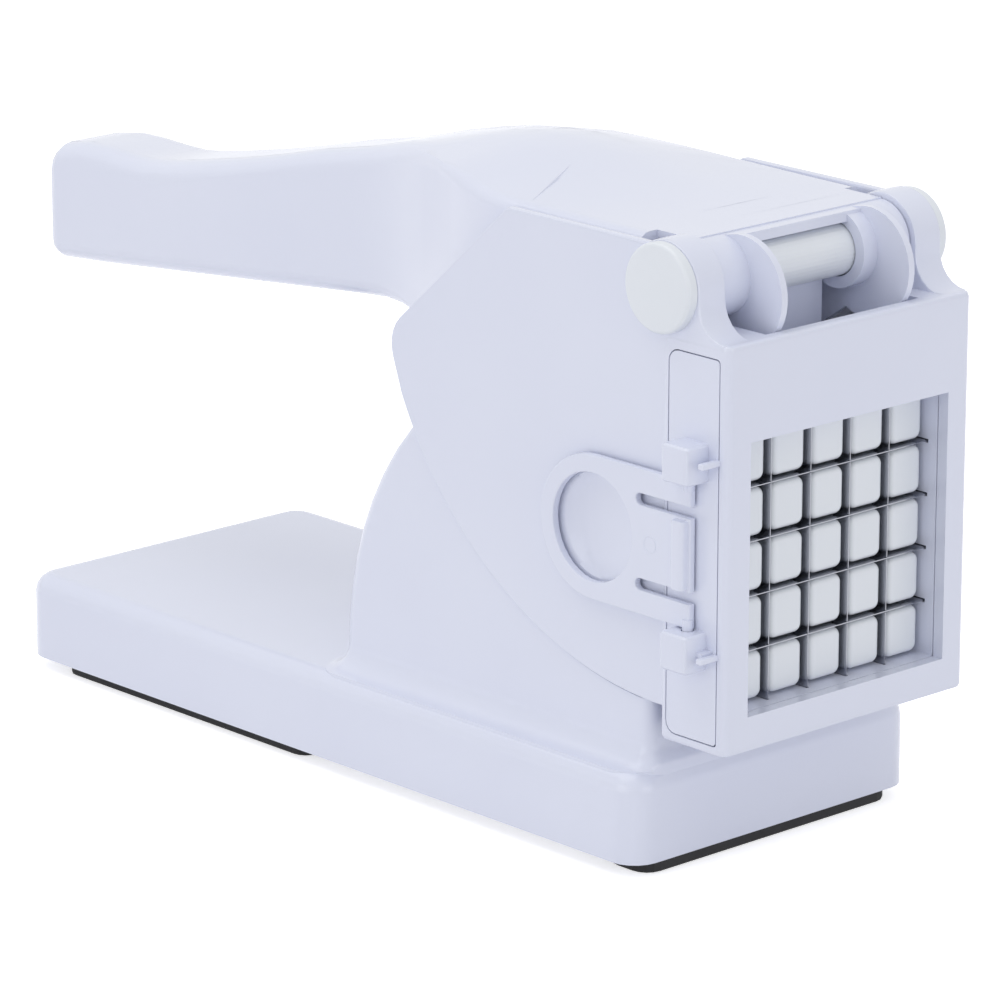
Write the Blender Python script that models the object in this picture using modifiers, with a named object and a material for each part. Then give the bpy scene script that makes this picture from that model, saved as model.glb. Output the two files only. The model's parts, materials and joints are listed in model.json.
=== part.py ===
"""French fry cutter with a lever, a swinging pusher and a slide-in blade cartridge.

Units are metres, +Z is up. +X is the front, where the cut sticks come out.
-Y is the side that the cartridge slides out of.
The origin lies on the bench, at the middle of the front foot.
"""
import math

import bmesh
import bpy
from mathutils import Matrix, Vector

# Fits and walls
SEAT_GAP = 0.0003
RUN_GAP = 0.0006
OVERRUN = 0.004
WALL = 0.0024

# Pivot of the lever
PIVOT_X = 0.0097
PIVOT_Z = 0.138
SHAFT_RADIUS = 0.0062
SHAFT_BORE_RADIUS = 0.0034
HUB_RADIUS = 0.0092
HUB_INNER_Y = 0.0150
CAP_RADIUS = 0.0103
CAP_PROUD = 0.0025
CAP_EDGE = 0.0008
CAP_STUB_LENGTH = 0.010

# Grid of cells
CUT_PITCH = 0.0127
CUT_COUNT = 5
GRID_Z = 0.0735
GRID_SIZE = CUT_PITCH * CUT_COUNT
BLADE_THICKNESS = 0.0005
BLADE_DEPTH = 0.005
BLADE_RECESS = 0.0062
BLADE_END_SEAT = 0.0024
BLADE_SLOT_GAP = 0.0002

# Front frame
FRAME_REACH = 0.0205
FRAME_DEPTH = 0.0210
FRAME_WIDTH = 0.078
FRAME_BOTTOM_Z = 0.0333
FRAME_TOP_Z = 0.128
FRAME_CORNER = 0.0019
FRAME_EDGE = 0.0013
TROUGH_SIDE = 0.0145
TROUGH_FLOOR_Z = 0.1175
TROUGH_LIP = 0.0031

# Cheeks and ears
CHEEK_INSET = 0.0004
CHEEK_WALL = 0.0024
CHEEK_RADIUS = 0.097
CHEEK_RIM_LENGTH = 0.0514
CHEEK_RIM_RISE = 0.0092
CHEEK_SEAM_RUN = 0.0412
CHEEK_SEAM_DROP = 0.0366
CHEEK_CORNER = 0.009
CHEEK_CORNER_DEGREES = 9
CHEEK_EDGE = 0.0007
RAIL_DEPTH = 0.005
RAIL_WIDTH = 0.0064
EAR_RADIUS = 0.0107
EAR_WIDTH = 0.0086
EAR_FLARE = 0.008
DISH_RADIUS = 0.0125
DISH_DEPTH = 0.0015

# Cartridge
CARTRIDGE_DEPTH = 0.0150
CARTRIDGE_FRONT_WALL = 0.0029
CARTRIDGE_SIDE_BAR = 0.0033
CARTRIDGE_TOP_BAR = 0.0043
END_PLATE_BOTTOM_Z = 0.0358
END_PLATE_TOP_Z = 0.1245
END_PLATE_THICKNESS = 0.0033
END_PLATE_CORNER = 0.0030
HINGE_BLOCK_WIDTH = 0.0085
HINGE_BLOCK_HEIGHT = 0.0088
HINGE_BLOCK_PROUD = 0.0066
HINGE_BLOCK_FIN = 0.0010
HINGE_BLOCK_FLOOR = 0.0030
RETAINER_DEPTH = 0.0060

# Pull ring
RING_HOLE_RADIUS = 0.0127
RING_BAND = 0.0043
RING_PLATE = 0.0020
RING_EDGE = 0.0005
RING_REACH = 0.0305
RING_TAB_OVERHANG = 0.0008
RING_SLOT_WIDTH = 0.0026
RING_SLOT_OFFSET = 0.0099
RING_SLOT_LENGTH = 0.0172
RING_BAR_WIDTH = 0.0044
RING_BAR_PROUD = 0.0020
RING_PIN_RADIUS = 0.0012
RING_PIN_BORE = 0.0015
RING_Z = 0.0790
RING_AXIS_BACK = 0.0102
RING_AXIS_SHARE = 0.75

# Pusher
POST_HALF_WIDTH = 0.0052
POST_HALF_HEIGHT = 0.0056
POST_CORNER = 0.0021
POST_EDGE = 0.0014
POST_ENTRY = 0.0044
PUSHER_PLATE = 0.005
PUSHER_BACK = 0.0085
PUSHER_MARGIN = 0.0004
PUSHER_EDGE = 0.0008

# Lever
LEVER_REACH = 0.253
LEVER_RISE = 0.0165
COVER_RISE = 0.0095
HANDLE_DROP = 0.0428
HANDLE_WIDTH = 0.026
HANDLE_CORNER = 0.0055
HANDLE_LOW_CORNER = 0.0042
COVER_CORNER = 0.0035
FLARE_START = 0.128
FLARE_END = 0.054
COVER_LIP = 0.0036
COVER_NOTCH_BACK = 0.0116
NOSE_RADIUS = 0.013
NOSE_AHEAD = 0.006
NOSE_BELOW = 0.003
WEB_INSET = 0.0033
WEB_THICKNESS = 0.0018
HANGER_PLATE = 0.0027
HANGER_INSET = 0.00375
SPINE_DEPTH = 0.0055
SPINE_HALF_WIDTH = 0.0145

# Base and pedestal
BASE_LENGTH = 0.2210
BASE_WIDTH = 0.0914
BASE_SETBACK = 0.0012
BASE_BOTTOM_Z = 0.0033
BASE_TOP_Z = 0.0245
BASE_CORNER = 0.0070
BASE_TOP_EDGE = 0.0045
PEDESTAL_INSET = 0.00125
PEDESTAL_SETBACK = 0.0045
PEDESTAL_LENGTH = 0.1045
PEDESTAL_CORNER = 0.0030
PEDESTAL_REAR_RADIUS = 0.085
PEDESTAL_FOOT_FILLET = 0.006
SADDLE_GAP = SEAT_GAP
CHANNEL_DEPTH = 0.0012
BASE_PLATE = 0.0025
BOSS_RADIUS = 0.0036

# Feet
FOOT_HEIGHT = 0.0033
FOOT_EDGE = 0.0006
FOOT_STUD_RADIUS = 0.0025
FRONT_FOOT_WIDTH = 0.014
FRONT_FOOT_INSET = 0.0055
REAR_FOOT_WIDTH = 0.012
REAR_FOOT_LENGTH = 0.092
REAR_FOOT_INSET = 0.0120
REAR_FOOT_SIDE_INSET = 0.0030

# Screws
SCREW_HEAD_RADIUS = 0.0021
SCREW_HEAD_HEIGHT = 0.0014
SCREW_SHANK_RADIUS = 0.0011
SCREW_HOLE_RADIUS = 0.0014
SCREW_LENGTH = 0.0075
RAIL_SCREW_DEGREES = (226.0, 254.0)

# How finely round shapes are cut up, and where arcs start and end, in degrees.
SMOOTH_DEGREES = 35
DOUBLE_POINT = 0.00001
LOOSE_POINT = 0.000001
SHANK_SIDES = 8
HOLE_SIDES = 12
HOLE_SPAN = 330
SMALL_SIDES = 16
BOSS_SIDES = 20
BORE_SIDES = 24
DISH_SIDES = 32
CAP_SIDES = 40
RING_SPAN = 351
ROUND_SIDES = 48
SADDLE_SIDES = 144
EDGE_STEPS = 3
CORNER_STEPS = 4
FILLET_DEGREES = 15.0
FILLET_STEPS = 7
WALL_STEPS = 8
FLARE_STEPS = 6
EAR_STEPS = 20
CHEEK_CORNER_STEPS = 5
ARC_STEPS = 24
ARC_END_DEGREES = 269
RAIL_END_DEGREES = 268
DISH_STEPS = 4
NOSE_STEPS = 22
NOSE_START_DEGREES = 95
NOSE_END_DEGREES = -120
LIP_STEPS = 5
LEVER_STEPS = 30
COVER_STEPS = 16
HANDLE_STEPS = 12
TIP_DEGREES = (0, 25, 45, 65, 90)
RING_STEPS = 20
SLOT_STEPS = 6

# Places worked out from the sizes above
FRAME_FRONT_X = PIVOT_X + FRAME_REACH
FRAME_REAR_X = FRAME_FRONT_X - FRAME_DEPTH
FRAME_HALF = FRAME_WIDTH / 2
TROUGH_HALF_WIDTH = FRAME_HALF - TROUGH_SIDE
WEB_OUTER_Y = TROUGH_HALF_WIDTH - WEB_INSET
HANGER_HALF_WIDTH = GRID_SIZE / 2 - HANGER_INSET
PEDESTAL_WIDTH = FRAME_WIDTH - 2 * PEDESTAL_INSET
BLADE_FRONT_X = FRAME_FRONT_X - BLADE_RECESS
BLADE_REAR_X = BLADE_FRONT_X - BLADE_DEPTH
GRID_BOTTOM_Z = GRID_Z - GRID_SIZE / 2
GRID_TOP_Z = GRID_Z + GRID_SIZE / 2
CARTRIDGE_FRONT_X = FRAME_FRONT_X - CARTRIDGE_FRONT_WALL - SEAT_GAP
CARTRIDGE_REAR_X = CARTRIDGE_FRONT_X - CARTRIDGE_DEPTH
CHEEK_OUTER_Y = FRAME_HALF - CHEEK_INSET
CHEEK_INNER_Y = CHEEK_OUTER_Y - CHEEK_WALL
EAR_OUTER_Y = FRAME_HALF - CHEEK_INSET / 2
EAR_INNER_Y = EAR_OUTER_Y - EAR_WIDTH
RAIL_INNER_Y = CHEEK_OUTER_Y - RAIL_WIDTH
RAIL_TOP_RADIUS = CHEEK_RADIUS - RAIL_DEPTH
COVER_HALF = CHEEK_INNER_Y - RUN_GAP
HUB_OUTER_Y = EAR_INNER_Y - SEAT_GAP
SHAFT_CLEAR_RADIUS = SHAFT_RADIUS + SEAT_GAP
BASE_FRONT_X = PIVOT_X - BASE_SETBACK
BASE_REAR_X = BASE_FRONT_X - BASE_LENGTH
PEDESTAL_FRONT_X = PIVOT_X - PEDESTAL_SETBACK
PEDESTAL_REAR_X = PEDESTAL_FRONT_X - PEDESTAL_LENGTH
SADDLE_RADIUS = CHEEK_RADIUS + SADDLE_GAP
CHANNEL_RADIUS = SADDLE_RADIUS + CHANNEL_DEPTH
POST_FRONT_X = BLADE_REAR_X + POST_ENTRY
PUSHER_REAR_X = PIVOT_X - PUSHER_BACK
PUSHER_FRONT_X = PUSHER_REAR_X + PUSHER_PLATE
HANGER_FRONT_X = PUSHER_REAR_X - SEAT_GAP
HANGER_REAR_X = HANGER_FRONT_X - HANGER_PLATE
END_PLATE_OUTER_Y = -FRAME_HALF
END_PLATE_INNER_Y = END_PLATE_OUTER_Y + END_PLATE_THICKNESS
RING_AXIS_X = FRAME_FRONT_X - RING_AXIS_BACK
RING_INNER_Y = END_PLATE_OUTER_Y - SEAT_GAP
RING_OUTER_Y = RING_INNER_Y - RING_PLATE
RING_AXIS_Y = RING_INNER_Y - RING_PLATE * RING_AXIS_SHARE
RING_CENTRE_X = RING_AXIS_X - RING_REACH
BASE_PLATE_BOTTOM_Z = FOOT_HEIGHT + SEAT_GAP
BASE_PLATE_TOP_Z = BASE_PLATE_BOTTOM_Z + BASE_PLATE

# Shares along the lever, from the pivot at 0 to the rear end at 1, with the
# height over the pivot as a share of the lever's rise or of the handle's drop
TOP_LINE_SHARES = (
    (-0.01, 0.575), (0.04, 0.585), (0.10, 0.63), (0.16, 0.72), (0.20, 0.81), (0.245, 0.93),
    (0.29, 1.00), (0.34, 0.96), (0.39, 0.81), (0.46, 0.57), (0.52, 0.33), (0.59, 0.11),
    (0.65, -0.12), (0.74, -0.42), (0.845, -0.69), (0.91, -0.67), (0.95, -0.68), (0.98, -0.76), (1.0, -0.88))
UNDERSIDE_SHARES = (
    (-0.01, -0.02), (0.10, -0.02), (0.20, -0.25), (0.33, -0.60), (0.42, -0.69),
    (0.48, -0.70), (0.70, -0.83), (0.90, -0.95), (1.0, -1.0))
FOOT_STUD_SHARES = (-0.38, 0.0, 0.38)
CROWN_SHARES = (0.4, 0.0, -0.4)

PARTS = "french_fry_cutter"
CUTTERS = "cutters"

MATERIALS = {
    "white_abs": ((0.640, 0.660, 0.735, 1.0), 0.28, 0.0),
    "white_nylon": ((0.700, 0.720, 0.745, 1.0), 0.35, 0.0),
    "stainless": ((0.600, 0.600, 0.610, 1.0), 0.18, 1.0),
    "zinc_steel": ((0.520, 0.530, 0.540, 1.0), 0.35, 1.0),
    "black_rubber": ((0.030, 0.030, 0.032, 1.0), 0.75, 0.0),
}


def clear_scene():
    """Remove what the scene starts with and make the two collections."""
    for item in list(bpy.data.objects):
        bpy.data.objects.remove(item, do_unlink=True)
    for title in (PARTS, CUTTERS):
        bpy.context.scene.collection.children.link(bpy.data.collections.new(title))


def material(name, kind):
    """One Principled material for one part."""
    colour, roughness, metallic = MATERIALS[kind]
    made = bpy.data.materials.new(name + "_" + kind)
    made.use_nodes = True
    shader = made.node_tree.nodes["Principled BSDF"]
    shader.inputs["Base Color"].default_value = colour
    shader.inputs["Roughness"].default_value = roughness
    shader.inputs["Metallic"].default_value = metallic
    return made


def add_object(name, mesh, collection=CUTTERS):
    """Link a mesh as an object. Cutters show as wires and don't render."""
    made = bpy.data.objects.new(name, mesh)
    bpy.data.collections[collection].objects.link(made)
    if collection == CUTTERS:
        made.hide_render = True
        made.display_type = "WIRE"
    return made


def as_part(item, name, kind):
    """Turn a shape into a named part with its own material."""
    bpy.data.collections[CUTTERS].objects.unlink(item)
    bpy.data.collections[PARTS].objects.link(item)
    item.name = name
    item.hide_render = False
    item.display_type = "TEXTURED"
    item.data.materials.clear()
    item.data.materials.append(material(name, kind))
    item.data.shade_smooth()
    item.data.set_sharp_from_angle(angle=math.radians(SMOOTH_DEGREES))
    return item


def mesh_from_bmesh(name, shape):
    """Write a bmesh into a new mesh, faces outwards."""
    bmesh.ops.recalc_face_normals(shape, faces=shape.faces)
    mesh = bpy.data.meshes.new(name)
    shape.to_mesh(mesh)
    shape.free()
    return mesh


def box(name, low, high):
    """A box between two corners."""
    low = Vector(low)
    high = Vector(high)
    shape = bmesh.new()
    bmesh.ops.create_cube(shape, size=1.0)
    centre = Matrix.Translation((low + high) / 2)
    scale = Matrix.Diagonal((high - low).to_4d())
    scale[3][3] = 1.0
    bmesh.ops.transform(shape, matrix=centre @ scale, verts=shape.verts)
    return add_object(name, mesh_from_bmesh(name, shape))


def rounded_box(name, low, high, corner, top_edge, bottom_edge=0.0, steps=EDGE_STEPS):
    """A box whose upright edges have one radius and whose top or bottom edges another."""
    item = box(name, low, high)
    shape = bmesh.new()
    shape.from_mesh(item.data)
    upright = [e for e in shape.edges if abs((e.verts[0].co - e.verts[1].co).z) > corner]
    bmesh.ops.bevel(shape, geom=upright, offset=corner, segments=steps + 1, profile=0.5, affect="EDGES")
    for height, radius in ((high[2], top_edge), (low[2], bottom_edge)):
        if radius > 0:
            level = [e for e in shape.edges if all(math.isclose(v.co.z, height, abs_tol=SEAT_GAP)
                                                   for v in e.verts)]
            bmesh.ops.bevel(shape, geom=level, offset=radius, segments=steps, profile=0.5, affect="EDGES")
    bmesh.ops.recalc_face_normals(shape, faces=shape.faces)
    shape.to_mesh(item.data)
    shape.free()
    return item


def cylinder(name, radius, start, end, sides=ROUND_SIDES, end_radius=None):
    """A cylinder or cone between two points."""
    start = Vector(start)
    end = Vector(end)
    shape = bmesh.new()
    second = radius if end_radius is None else end_radius
    bmesh.ops.create_cone(shape, cap_ends=True, segments=sides, radius1=radius, radius2=second,
                          depth=(end - start).length)
    turn = Vector((0, 0, 1)).rotation_difference(end - start).to_matrix().to_4x4()
    bmesh.ops.transform(shape, matrix=Matrix.Translation((start + end) / 2) @ turn, verts=shape.verts)
    return add_object(name, mesh_from_bmesh(name, shape))


def rounded_outline(corners, steps=CORNER_STEPS):
    """Outline points from (x, y, radius) corners, each radius turned into an arc."""
    outline = []
    count = len(corners)
    for index, (x, y, radius) in enumerate(corners):
        here = Vector((x, y))
        before = Vector(corners[index - 1][:2]) - here
        after = Vector(corners[(index + 1) % count][:2]) - here
        if radius <= 0:
            outline.append((x, y))
            continue
        half = before.angle(after) / 2
        middle = (before.normalized() + after.normalized()).normalized()
        centre = here + middle * (radius / math.sin(half))
        first = here + before.normalized() * (radius / math.tan(half)) - centre
        last = here + after.normalized() * (radius / math.tan(half)) - centre
        sweep = first.angle_signed(last)
        for step in range(steps + 1):
            turn = Matrix.Rotation(-sweep * step / steps, 2)
            point = centre + turn @ first
            outline.append((point.x, point.y))
    return outline


def arc(centre, radius, start_degrees, end_degrees, steps):
    """Points on a circle, both ends included."""
    points = []
    for step in range(steps + 1):
        angle = math.radians(start_degrees + (end_degrees - start_degrees) * step / steps)
        points.append((centre[0] + radius * math.cos(angle), centre[1] + radius * math.sin(angle)))
    return points


AXES = {
    "X": Matrix(((0, 0, 1, 0), (1, 0, 0, 0), (0, 1, 0, 0), (0, 0, 0, 1))),
    "Y": Matrix(((1, 0, 0, 0), (0, 0, -1, 0), (0, 1, 0, 0), (0, 0, 0, 1))),
    "Z": Matrix.Identity(4),
}


def plate(name, outlines, axis, low, high, edge=0.0, edge_steps=1):
    """A flat outline with holes, extruded along one axis between two places.

    The outline's points are (y, z) along X, (x, z) along Y and (x, y) along Z.
    """
    curve = bpy.data.curves.new(name, "CURVE")
    curve.dimensions = "2D"
    curve.fill_mode = "BOTH"
    curve.extrude = (high - low) / 2 - edge
    curve.bevel_depth = edge
    curve.bevel_resolution = edge_steps
    curve.offset = -edge
    for outline in outlines:
        spline = curve.splines.new("POLY")
        spline.points.add(len(outline) - 1)
        for point, (x, y) in zip(spline.points, outline):
            point.co = (x, y, 0.0, 1.0)
        spline.use_cyclic_u = True
    drawn = bpy.data.objects.new(name + "_outline", curve)
    bpy.data.collections[CUTTERS].objects.link(drawn)
    bpy.context.view_layer.update()
    graph = bpy.context.evaluated_depsgraph_get()
    mesh = bpy.data.meshes.new_from_object(drawn.evaluated_get(graph))
    bpy.data.objects.remove(drawn, do_unlink=True)
    shape = bmesh.new()
    shape.from_mesh(mesh)
    bpy.data.meshes.remove(mesh)
    bmesh.ops.remove_doubles(shape, verts=shape.verts, dist=DOUBLE_POINT)
    place = Vector((0, 0, (low + high) / 2))
    if axis == "Y":
        place = -place
    bmesh.ops.transform(shape, matrix=AXES[axis] @ Matrix.Translation(place), verts=shape.verts)
    return add_object(name, mesh_from_bmesh(name, shape))


def turned(name, profile, centre, axis, sides=ROUND_SIDES):
    """A turned shape: (radius, height) points from top to bottom, spun round an axis."""
    shape = bmesh.new()
    verts = [shape.verts.new((radius, 0.0, height)) for radius, height in profile]
    for first, second in zip(verts, verts[1:]):
        shape.edges.new((first, second))
    mesh = bpy.data.meshes.new(name)
    shape.to_mesh(mesh)
    shape.free()
    item = add_object(name, mesh)
    screw = item.modifiers.new("spin", "SCREW")
    screw.steps = sides
    screw.render_steps = sides
    screw.use_merge_vertices = True
    screw.merge_threshold = DOUBLE_POINT
    freeze(item)
    turn = Vector((0, 0, 1)).rotation_difference(Vector(axis)).to_matrix().to_4x4()
    item.data.transform(Matrix.Translation(centre) @ turn)
    return item


def loft(name, sections):
    """A closed solid through a row of sections with the same number of points."""
    shape = bmesh.new()
    rows = [[shape.verts.new(point) for point in section] for section in sections]
    for first, second in zip(rows, rows[1:]):
        for index in range(len(first)):
            after = (index + 1) % len(first)
            shape.faces.new((first[index], first[after], second[after], second[index]))
    shape.faces.new(rows[0])
    shape.faces.new(rows[-1])
    return add_object(name, mesh_from_bmesh(name, shape))


def freeze(item):
    """Apply an object's modifiers."""
    bpy.context.view_layer.update()
    graph = bpy.context.evaluated_depsgraph_get()
    mesh = bpy.data.meshes.new_from_object(item.evaluated_get(graph))
    item.modifiers.clear()
    old = item.data
    item.data = mesh
    bpy.data.meshes.remove(old)
    return item


def combine(target, tools, operation):
    """Join, cut or keep the common part, one tool after another, and drop the tools."""
    for tool in tools:
        step = target.modifiers.new(operation.lower(), "BOOLEAN")
        step.operation = operation
        step.solver = "EXACT"
        step.object = tool
        freeze(target)
        bpy.data.objects.remove(tool, do_unlink=True)
    shape = bmesh.new()
    shape.from_mesh(target.data)
    bmesh.ops.remove_doubles(shape, verts=shape.verts, dist=LOOSE_POINT)
    shape.to_mesh(target.data)
    shape.free()
    return target


def join_bodies(name, items):
    """Put several separate bodies into one object."""
    shape = bmesh.new()
    for item in items:
        shape.from_mesh(item.data)
        bpy.data.objects.remove(item, do_unlink=True)
    return add_object(name, mesh_from_bmesh(name, shape))


def hang_on_axis(name, place, items):
    """Parent moving parts to an empty on their joint's axis, without moving them."""
    axis = bpy.data.objects.new(name, None)
    axis.location = place
    bpy.data.collections[PARTS].objects.link(axis)
    bpy.context.view_layer.update()
    for item in items:
        item.parent = axis
        item.matrix_parent_inverse = axis.matrix_world.inverted()


def interpolate(shares, along):
    """Smooth height at a place along a line of shares."""
    if along <= shares[0][0]:
        return shares[0][1]
    for index in range(len(shares) - 1):
        start, low = shares[index]
        end, high = shares[index + 1]
        if along <= end:
            before = shares[max(index - 1, 0)]
            after = shares[min(index + 2, len(shares) - 1)]
            slope_in = (high - before[1]) / (end - before[0])
            slope_out = (after[1] - low) / (after[0] - start)
            span = end - start
            t = (along - start) / span
            return ((1 + 2 * t) * (1 - t) ** 2 * low + t * (1 - t) ** 2 * slope_in * span
                    + t * t * (3 - 2 * t) * high + t * t * (t - 1) * slope_out * span)
    return shares[-1][1]


def screw(name, seat, direction):
    """A pan-head screw: the head's underside is on the seat, the shank goes along the direction."""
    seat = Vector(seat)
    direction = Vector(direction).normalized()
    head = cylinder(name, SCREW_HEAD_RADIUS, seat - direction * SCREW_HEAD_HEIGHT, seat, sides=HOLE_SIDES)
    shank = cylinder(name + "_shank", SCREW_SHANK_RADIUS, seat - direction * SCREW_HEAD_HEIGHT / 2,
                     seat + direction * SCREW_LENGTH, sides=SHANK_SIDES)
    return as_part(combine(head, [shank], "UNION"), name, "zinc_steel")


def screw_hole(name, seat, direction, through, recess):
    """A hole for a screw's shank past its seat, with room for its head before the seat."""
    seat = Vector(seat)
    direction = Vector(direction).normalized()
    hole = cylinder(name, SCREW_HOLE_RADIUS, seat - direction * recess / 2, seat + direction * through, sides=HOLE_SIDES)
    room = cylinder(name + "_room", SCREW_HEAD_RADIUS + SEAT_GAP, seat - direction * recess, seat, sides=SMALL_SIDES)
    return combine(hole, [room], "UNION")


def cell_places():
    """Middles of the cells and places of the blades along one side, from the grid's middle."""
    cells = [(index - (CUT_COUNT - 1) / 2) * CUT_PITCH for index in range(CUT_COUNT)]
    blades = [(index - (CUT_COUNT - 2) / 2) * CUT_PITCH for index in range(CUT_COUNT - 1)]
    return cells, blades


def pedestal_loft(name, inset, top_z):
    """The pedestal: upright front, rear edge leaning forward on an arc, fillet at the foot."""
    sections = []
    foot = PEDESTAL_FOOT_FILLET
    heights = [BASE_TOP_Z - OVERRUN]
    heights += [BASE_TOP_Z + foot * (1 - math.cos(math.radians(FILLET_DEGREES * step))) for step in range(FILLET_STEPS)]
    first = heights[-1]
    heights += [first + (top_z - first) * step / WALL_STEPS for step in range(1, WALL_STEPS + 1)]
    for z in heights:
        over = max(z - first, 0.0)
        under = min(max(first - z, 0.0), foot)
        flare = foot - math.sqrt(foot * foot - under * under)
        reach = math.sqrt(PEDESTAL_REAR_RADIUS ** 2 - over * over)
        rear = PEDESTAL_REAR_X + PEDESTAL_REAR_RADIUS - reach - flare + inset
        front = PEDESTAL_FRONT_X + min(flare, foot / 3) - inset
        half = PEDESTAL_WIDTH / 2 + flare - inset
        radius = PEDESTAL_CORNER + flare
        corners = ((rear, -half, radius), (front, -half, radius), (front, half, radius), (rear, half, radius))
        sections.append([(x, y, z) for x, y in rounded_outline(corners, steps=CORNER_STEPS)])
    return loft(name, sections)


def base_screw_places():
    """Where the bottom plate is screwed to the shell's bosses."""
    rear = BASE_REAR_X + 2 * BASE_CORNER
    front = PEDESTAL_FRONT_X - PEDESTAL_LENGTH / 4
    rear_side = BASE_WIDTH / 2 - REAR_FOOT_SIDE_INSET - REAR_FOOT_WIDTH - 2 * BOSS_RADIUS
    front_side = PEDESTAL_WIDTH / 2 - BOSS_RADIUS - WALL / 4
    return [(rear, -rear_side), (rear, rear_side), (front, -front_side), (front, front_side)]


def foot_stud_places():
    """Middles of each foot's studs, by foot."""
    half = BASE_WIDTH / 2 - FRONT_FOOT_INSET
    front = [(0.0, share * 2 * half) for share in FOOT_STUD_SHARES]
    middle = BASE_REAR_X + REAR_FOOT_INSET + REAR_FOOT_LENGTH / 2
    side = BASE_WIDTH / 2 - REAR_FOOT_SIDE_INSET - REAR_FOOT_WIDTH / 2
    places = {"front_foot": front}
    for label, sign in (("rear_foot_left", -1), ("rear_foot_right", 1)):
        places[label] = [(middle + share * REAR_FOOT_LENGTH, sign * side) for share in FOOT_STUD_SHARES]
    return places


def rail_screw_seats():
    """Seats of the screws that hold the housing's rails down on the pedestal, and their directions."""
    seats = []
    side = RAIL_INNER_Y + SCREW_HEAD_RADIUS
    radius = CHANNEL_RADIUS + WALL
    for sign in (-1, 1):
        for degrees in RAIL_SCREW_DEGREES:
            angle = math.radians(degrees)
            outward = Vector((math.cos(angle), 0.0, math.sin(angle)))
            seat = Vector((PIVOT_X, sign * side, PIVOT_Z)) + outward * radius
            seats.append((seat, -outward))
    return seats


def make_base_shell():
    """Base and pedestal, moulded as one, open underneath."""
    half = BASE_WIDTH / 2
    shell = rounded_box("base_shell", (BASE_REAR_X, -half, BASE_BOTTOM_Z), (BASE_FRONT_X, half, BASE_TOP_Z),
                        BASE_CORNER, BASE_TOP_EDGE, steps=CORNER_STEPS)
    shell = combine(shell, [pedestal_loft("pedestal", 0.0, PIVOT_Z - CHEEK_RADIUS / 2)], "UNION")
    axis_low = (PIVOT_X, -FRAME_WIDTH, PIVOT_Z)
    axis_high = (PIVOT_X, FRAME_WIDTH, PIVOT_Z)
    channel_half = RAIL_INNER_Y - SEAT_GAP
    saddle = cylinder("saddle", SADDLE_RADIUS, axis_low, axis_high, sides=SADDLE_SIDES)
    channel = cylinder("channel", CHANNEL_RADIUS, (PIVOT_X, -channel_half, PIVOT_Z),
                       (PIVOT_X, channel_half, PIVOT_Z), sides=SADDLE_SIDES)
    shell = combine(shell, [saddle, channel], "DIFFERENCE")
    hollow = pedestal_loft("pedestal_hollow", WALL, PIVOT_Z - CHEEK_RADIUS / 2)
    roof = cylinder("roof", CHANNEL_RADIUS + WALL, axis_low, axis_high, sides=SADDLE_SIDES)
    hollow = combine(hollow, [roof], "DIFFERENCE")
    tub = rounded_box("tub", (BASE_REAR_X + WALL, -half + WALL, BASE_BOTTOM_Z - OVERRUN),
                      (BASE_FRONT_X - WALL, half - WALL, BASE_TOP_Z - WALL),
                      BASE_CORNER - WALL, BASE_TOP_EDGE - WALL, steps=2)
    shell = combine(shell, [tub, hollow], "DIFFERENCE")
    bosses = []
    holes = []
    for index, (x, y) in enumerate(base_screw_places()):
        top = BASE_TOP_Z - WALL / 2 if x < PEDESTAL_REAR_X else BASE_TOP_Z + 2 * PEDESTAL_FOOT_FILLET
        bosses.append(cylinder("boss_%d" % index, BOSS_RADIUS, (x, y, BASE_PLATE_TOP_Z + SEAT_GAP),
                               (x, y, top), sides=BOSS_SIDES))
        holes.append(cylinder("boss_hole_%d" % index, SCREW_HOLE_RADIUS, (x, y, BASE_BOTTOM_Z),
                              (x, y, BASE_BOTTOM_Z + SCREW_LENGTH + OVERRUN), sides=HOLE_SIDES))
    shell = combine(shell, bosses, "UNION")
    for index, (seat, direction) in enumerate(rail_screw_seats()):
        holes.append(screw_hole("rail_hole_%d" % index, seat, direction, SCREW_LENGTH, OVERRUN))
    shell = combine(shell, holes, "DIFFERENCE")
    return as_part(shell, "base_shell", "white_abs")


def make_base_plate():
    """The plate that closes the base, with holes for screws and foot studs."""
    inset = WALL + SEAT_GAP
    half = BASE_WIDTH / 2 - inset
    radius = BASE_CORNER - inset
    rear = BASE_REAR_X + inset
    front = BASE_FRONT_X - inset
    outlines = [rounded_outline(((rear, -half, radius), (front, -half, radius),
                                 (front, half, radius), (rear, half, radius)))]
    for places in foot_stud_places().values():
        outlines += [arc(place, FOOT_STUD_RADIUS + SEAT_GAP, 0, HOLE_SPAN, HOLE_SIDES - 1) for place in places]
    outlines += [arc(place, SCREW_HOLE_RADIUS, 0, HOLE_SPAN, HOLE_SIDES - 1) for place in base_screw_places()]
    item = plate("base_plate", outlines, "Z", BASE_PLATE_BOTTOM_Z, BASE_PLATE_TOP_Z)
    rooms = []
    for index, (x, y) in enumerate(base_screw_places()):
        rooms.append(cylinder("head_room_%d" % index, SCREW_HEAD_RADIUS + SEAT_GAP,
                              (x, y, BASE_PLATE_BOTTOM_Z - OVERRUN),
                              (x, y, BASE_PLATE_BOTTOM_Z + SCREW_HEAD_HEIGHT), sides=SMALL_SIDES))
    return as_part(combine(item, rooms, "DIFFERENCE"), "base_plate", "white_abs")


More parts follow.
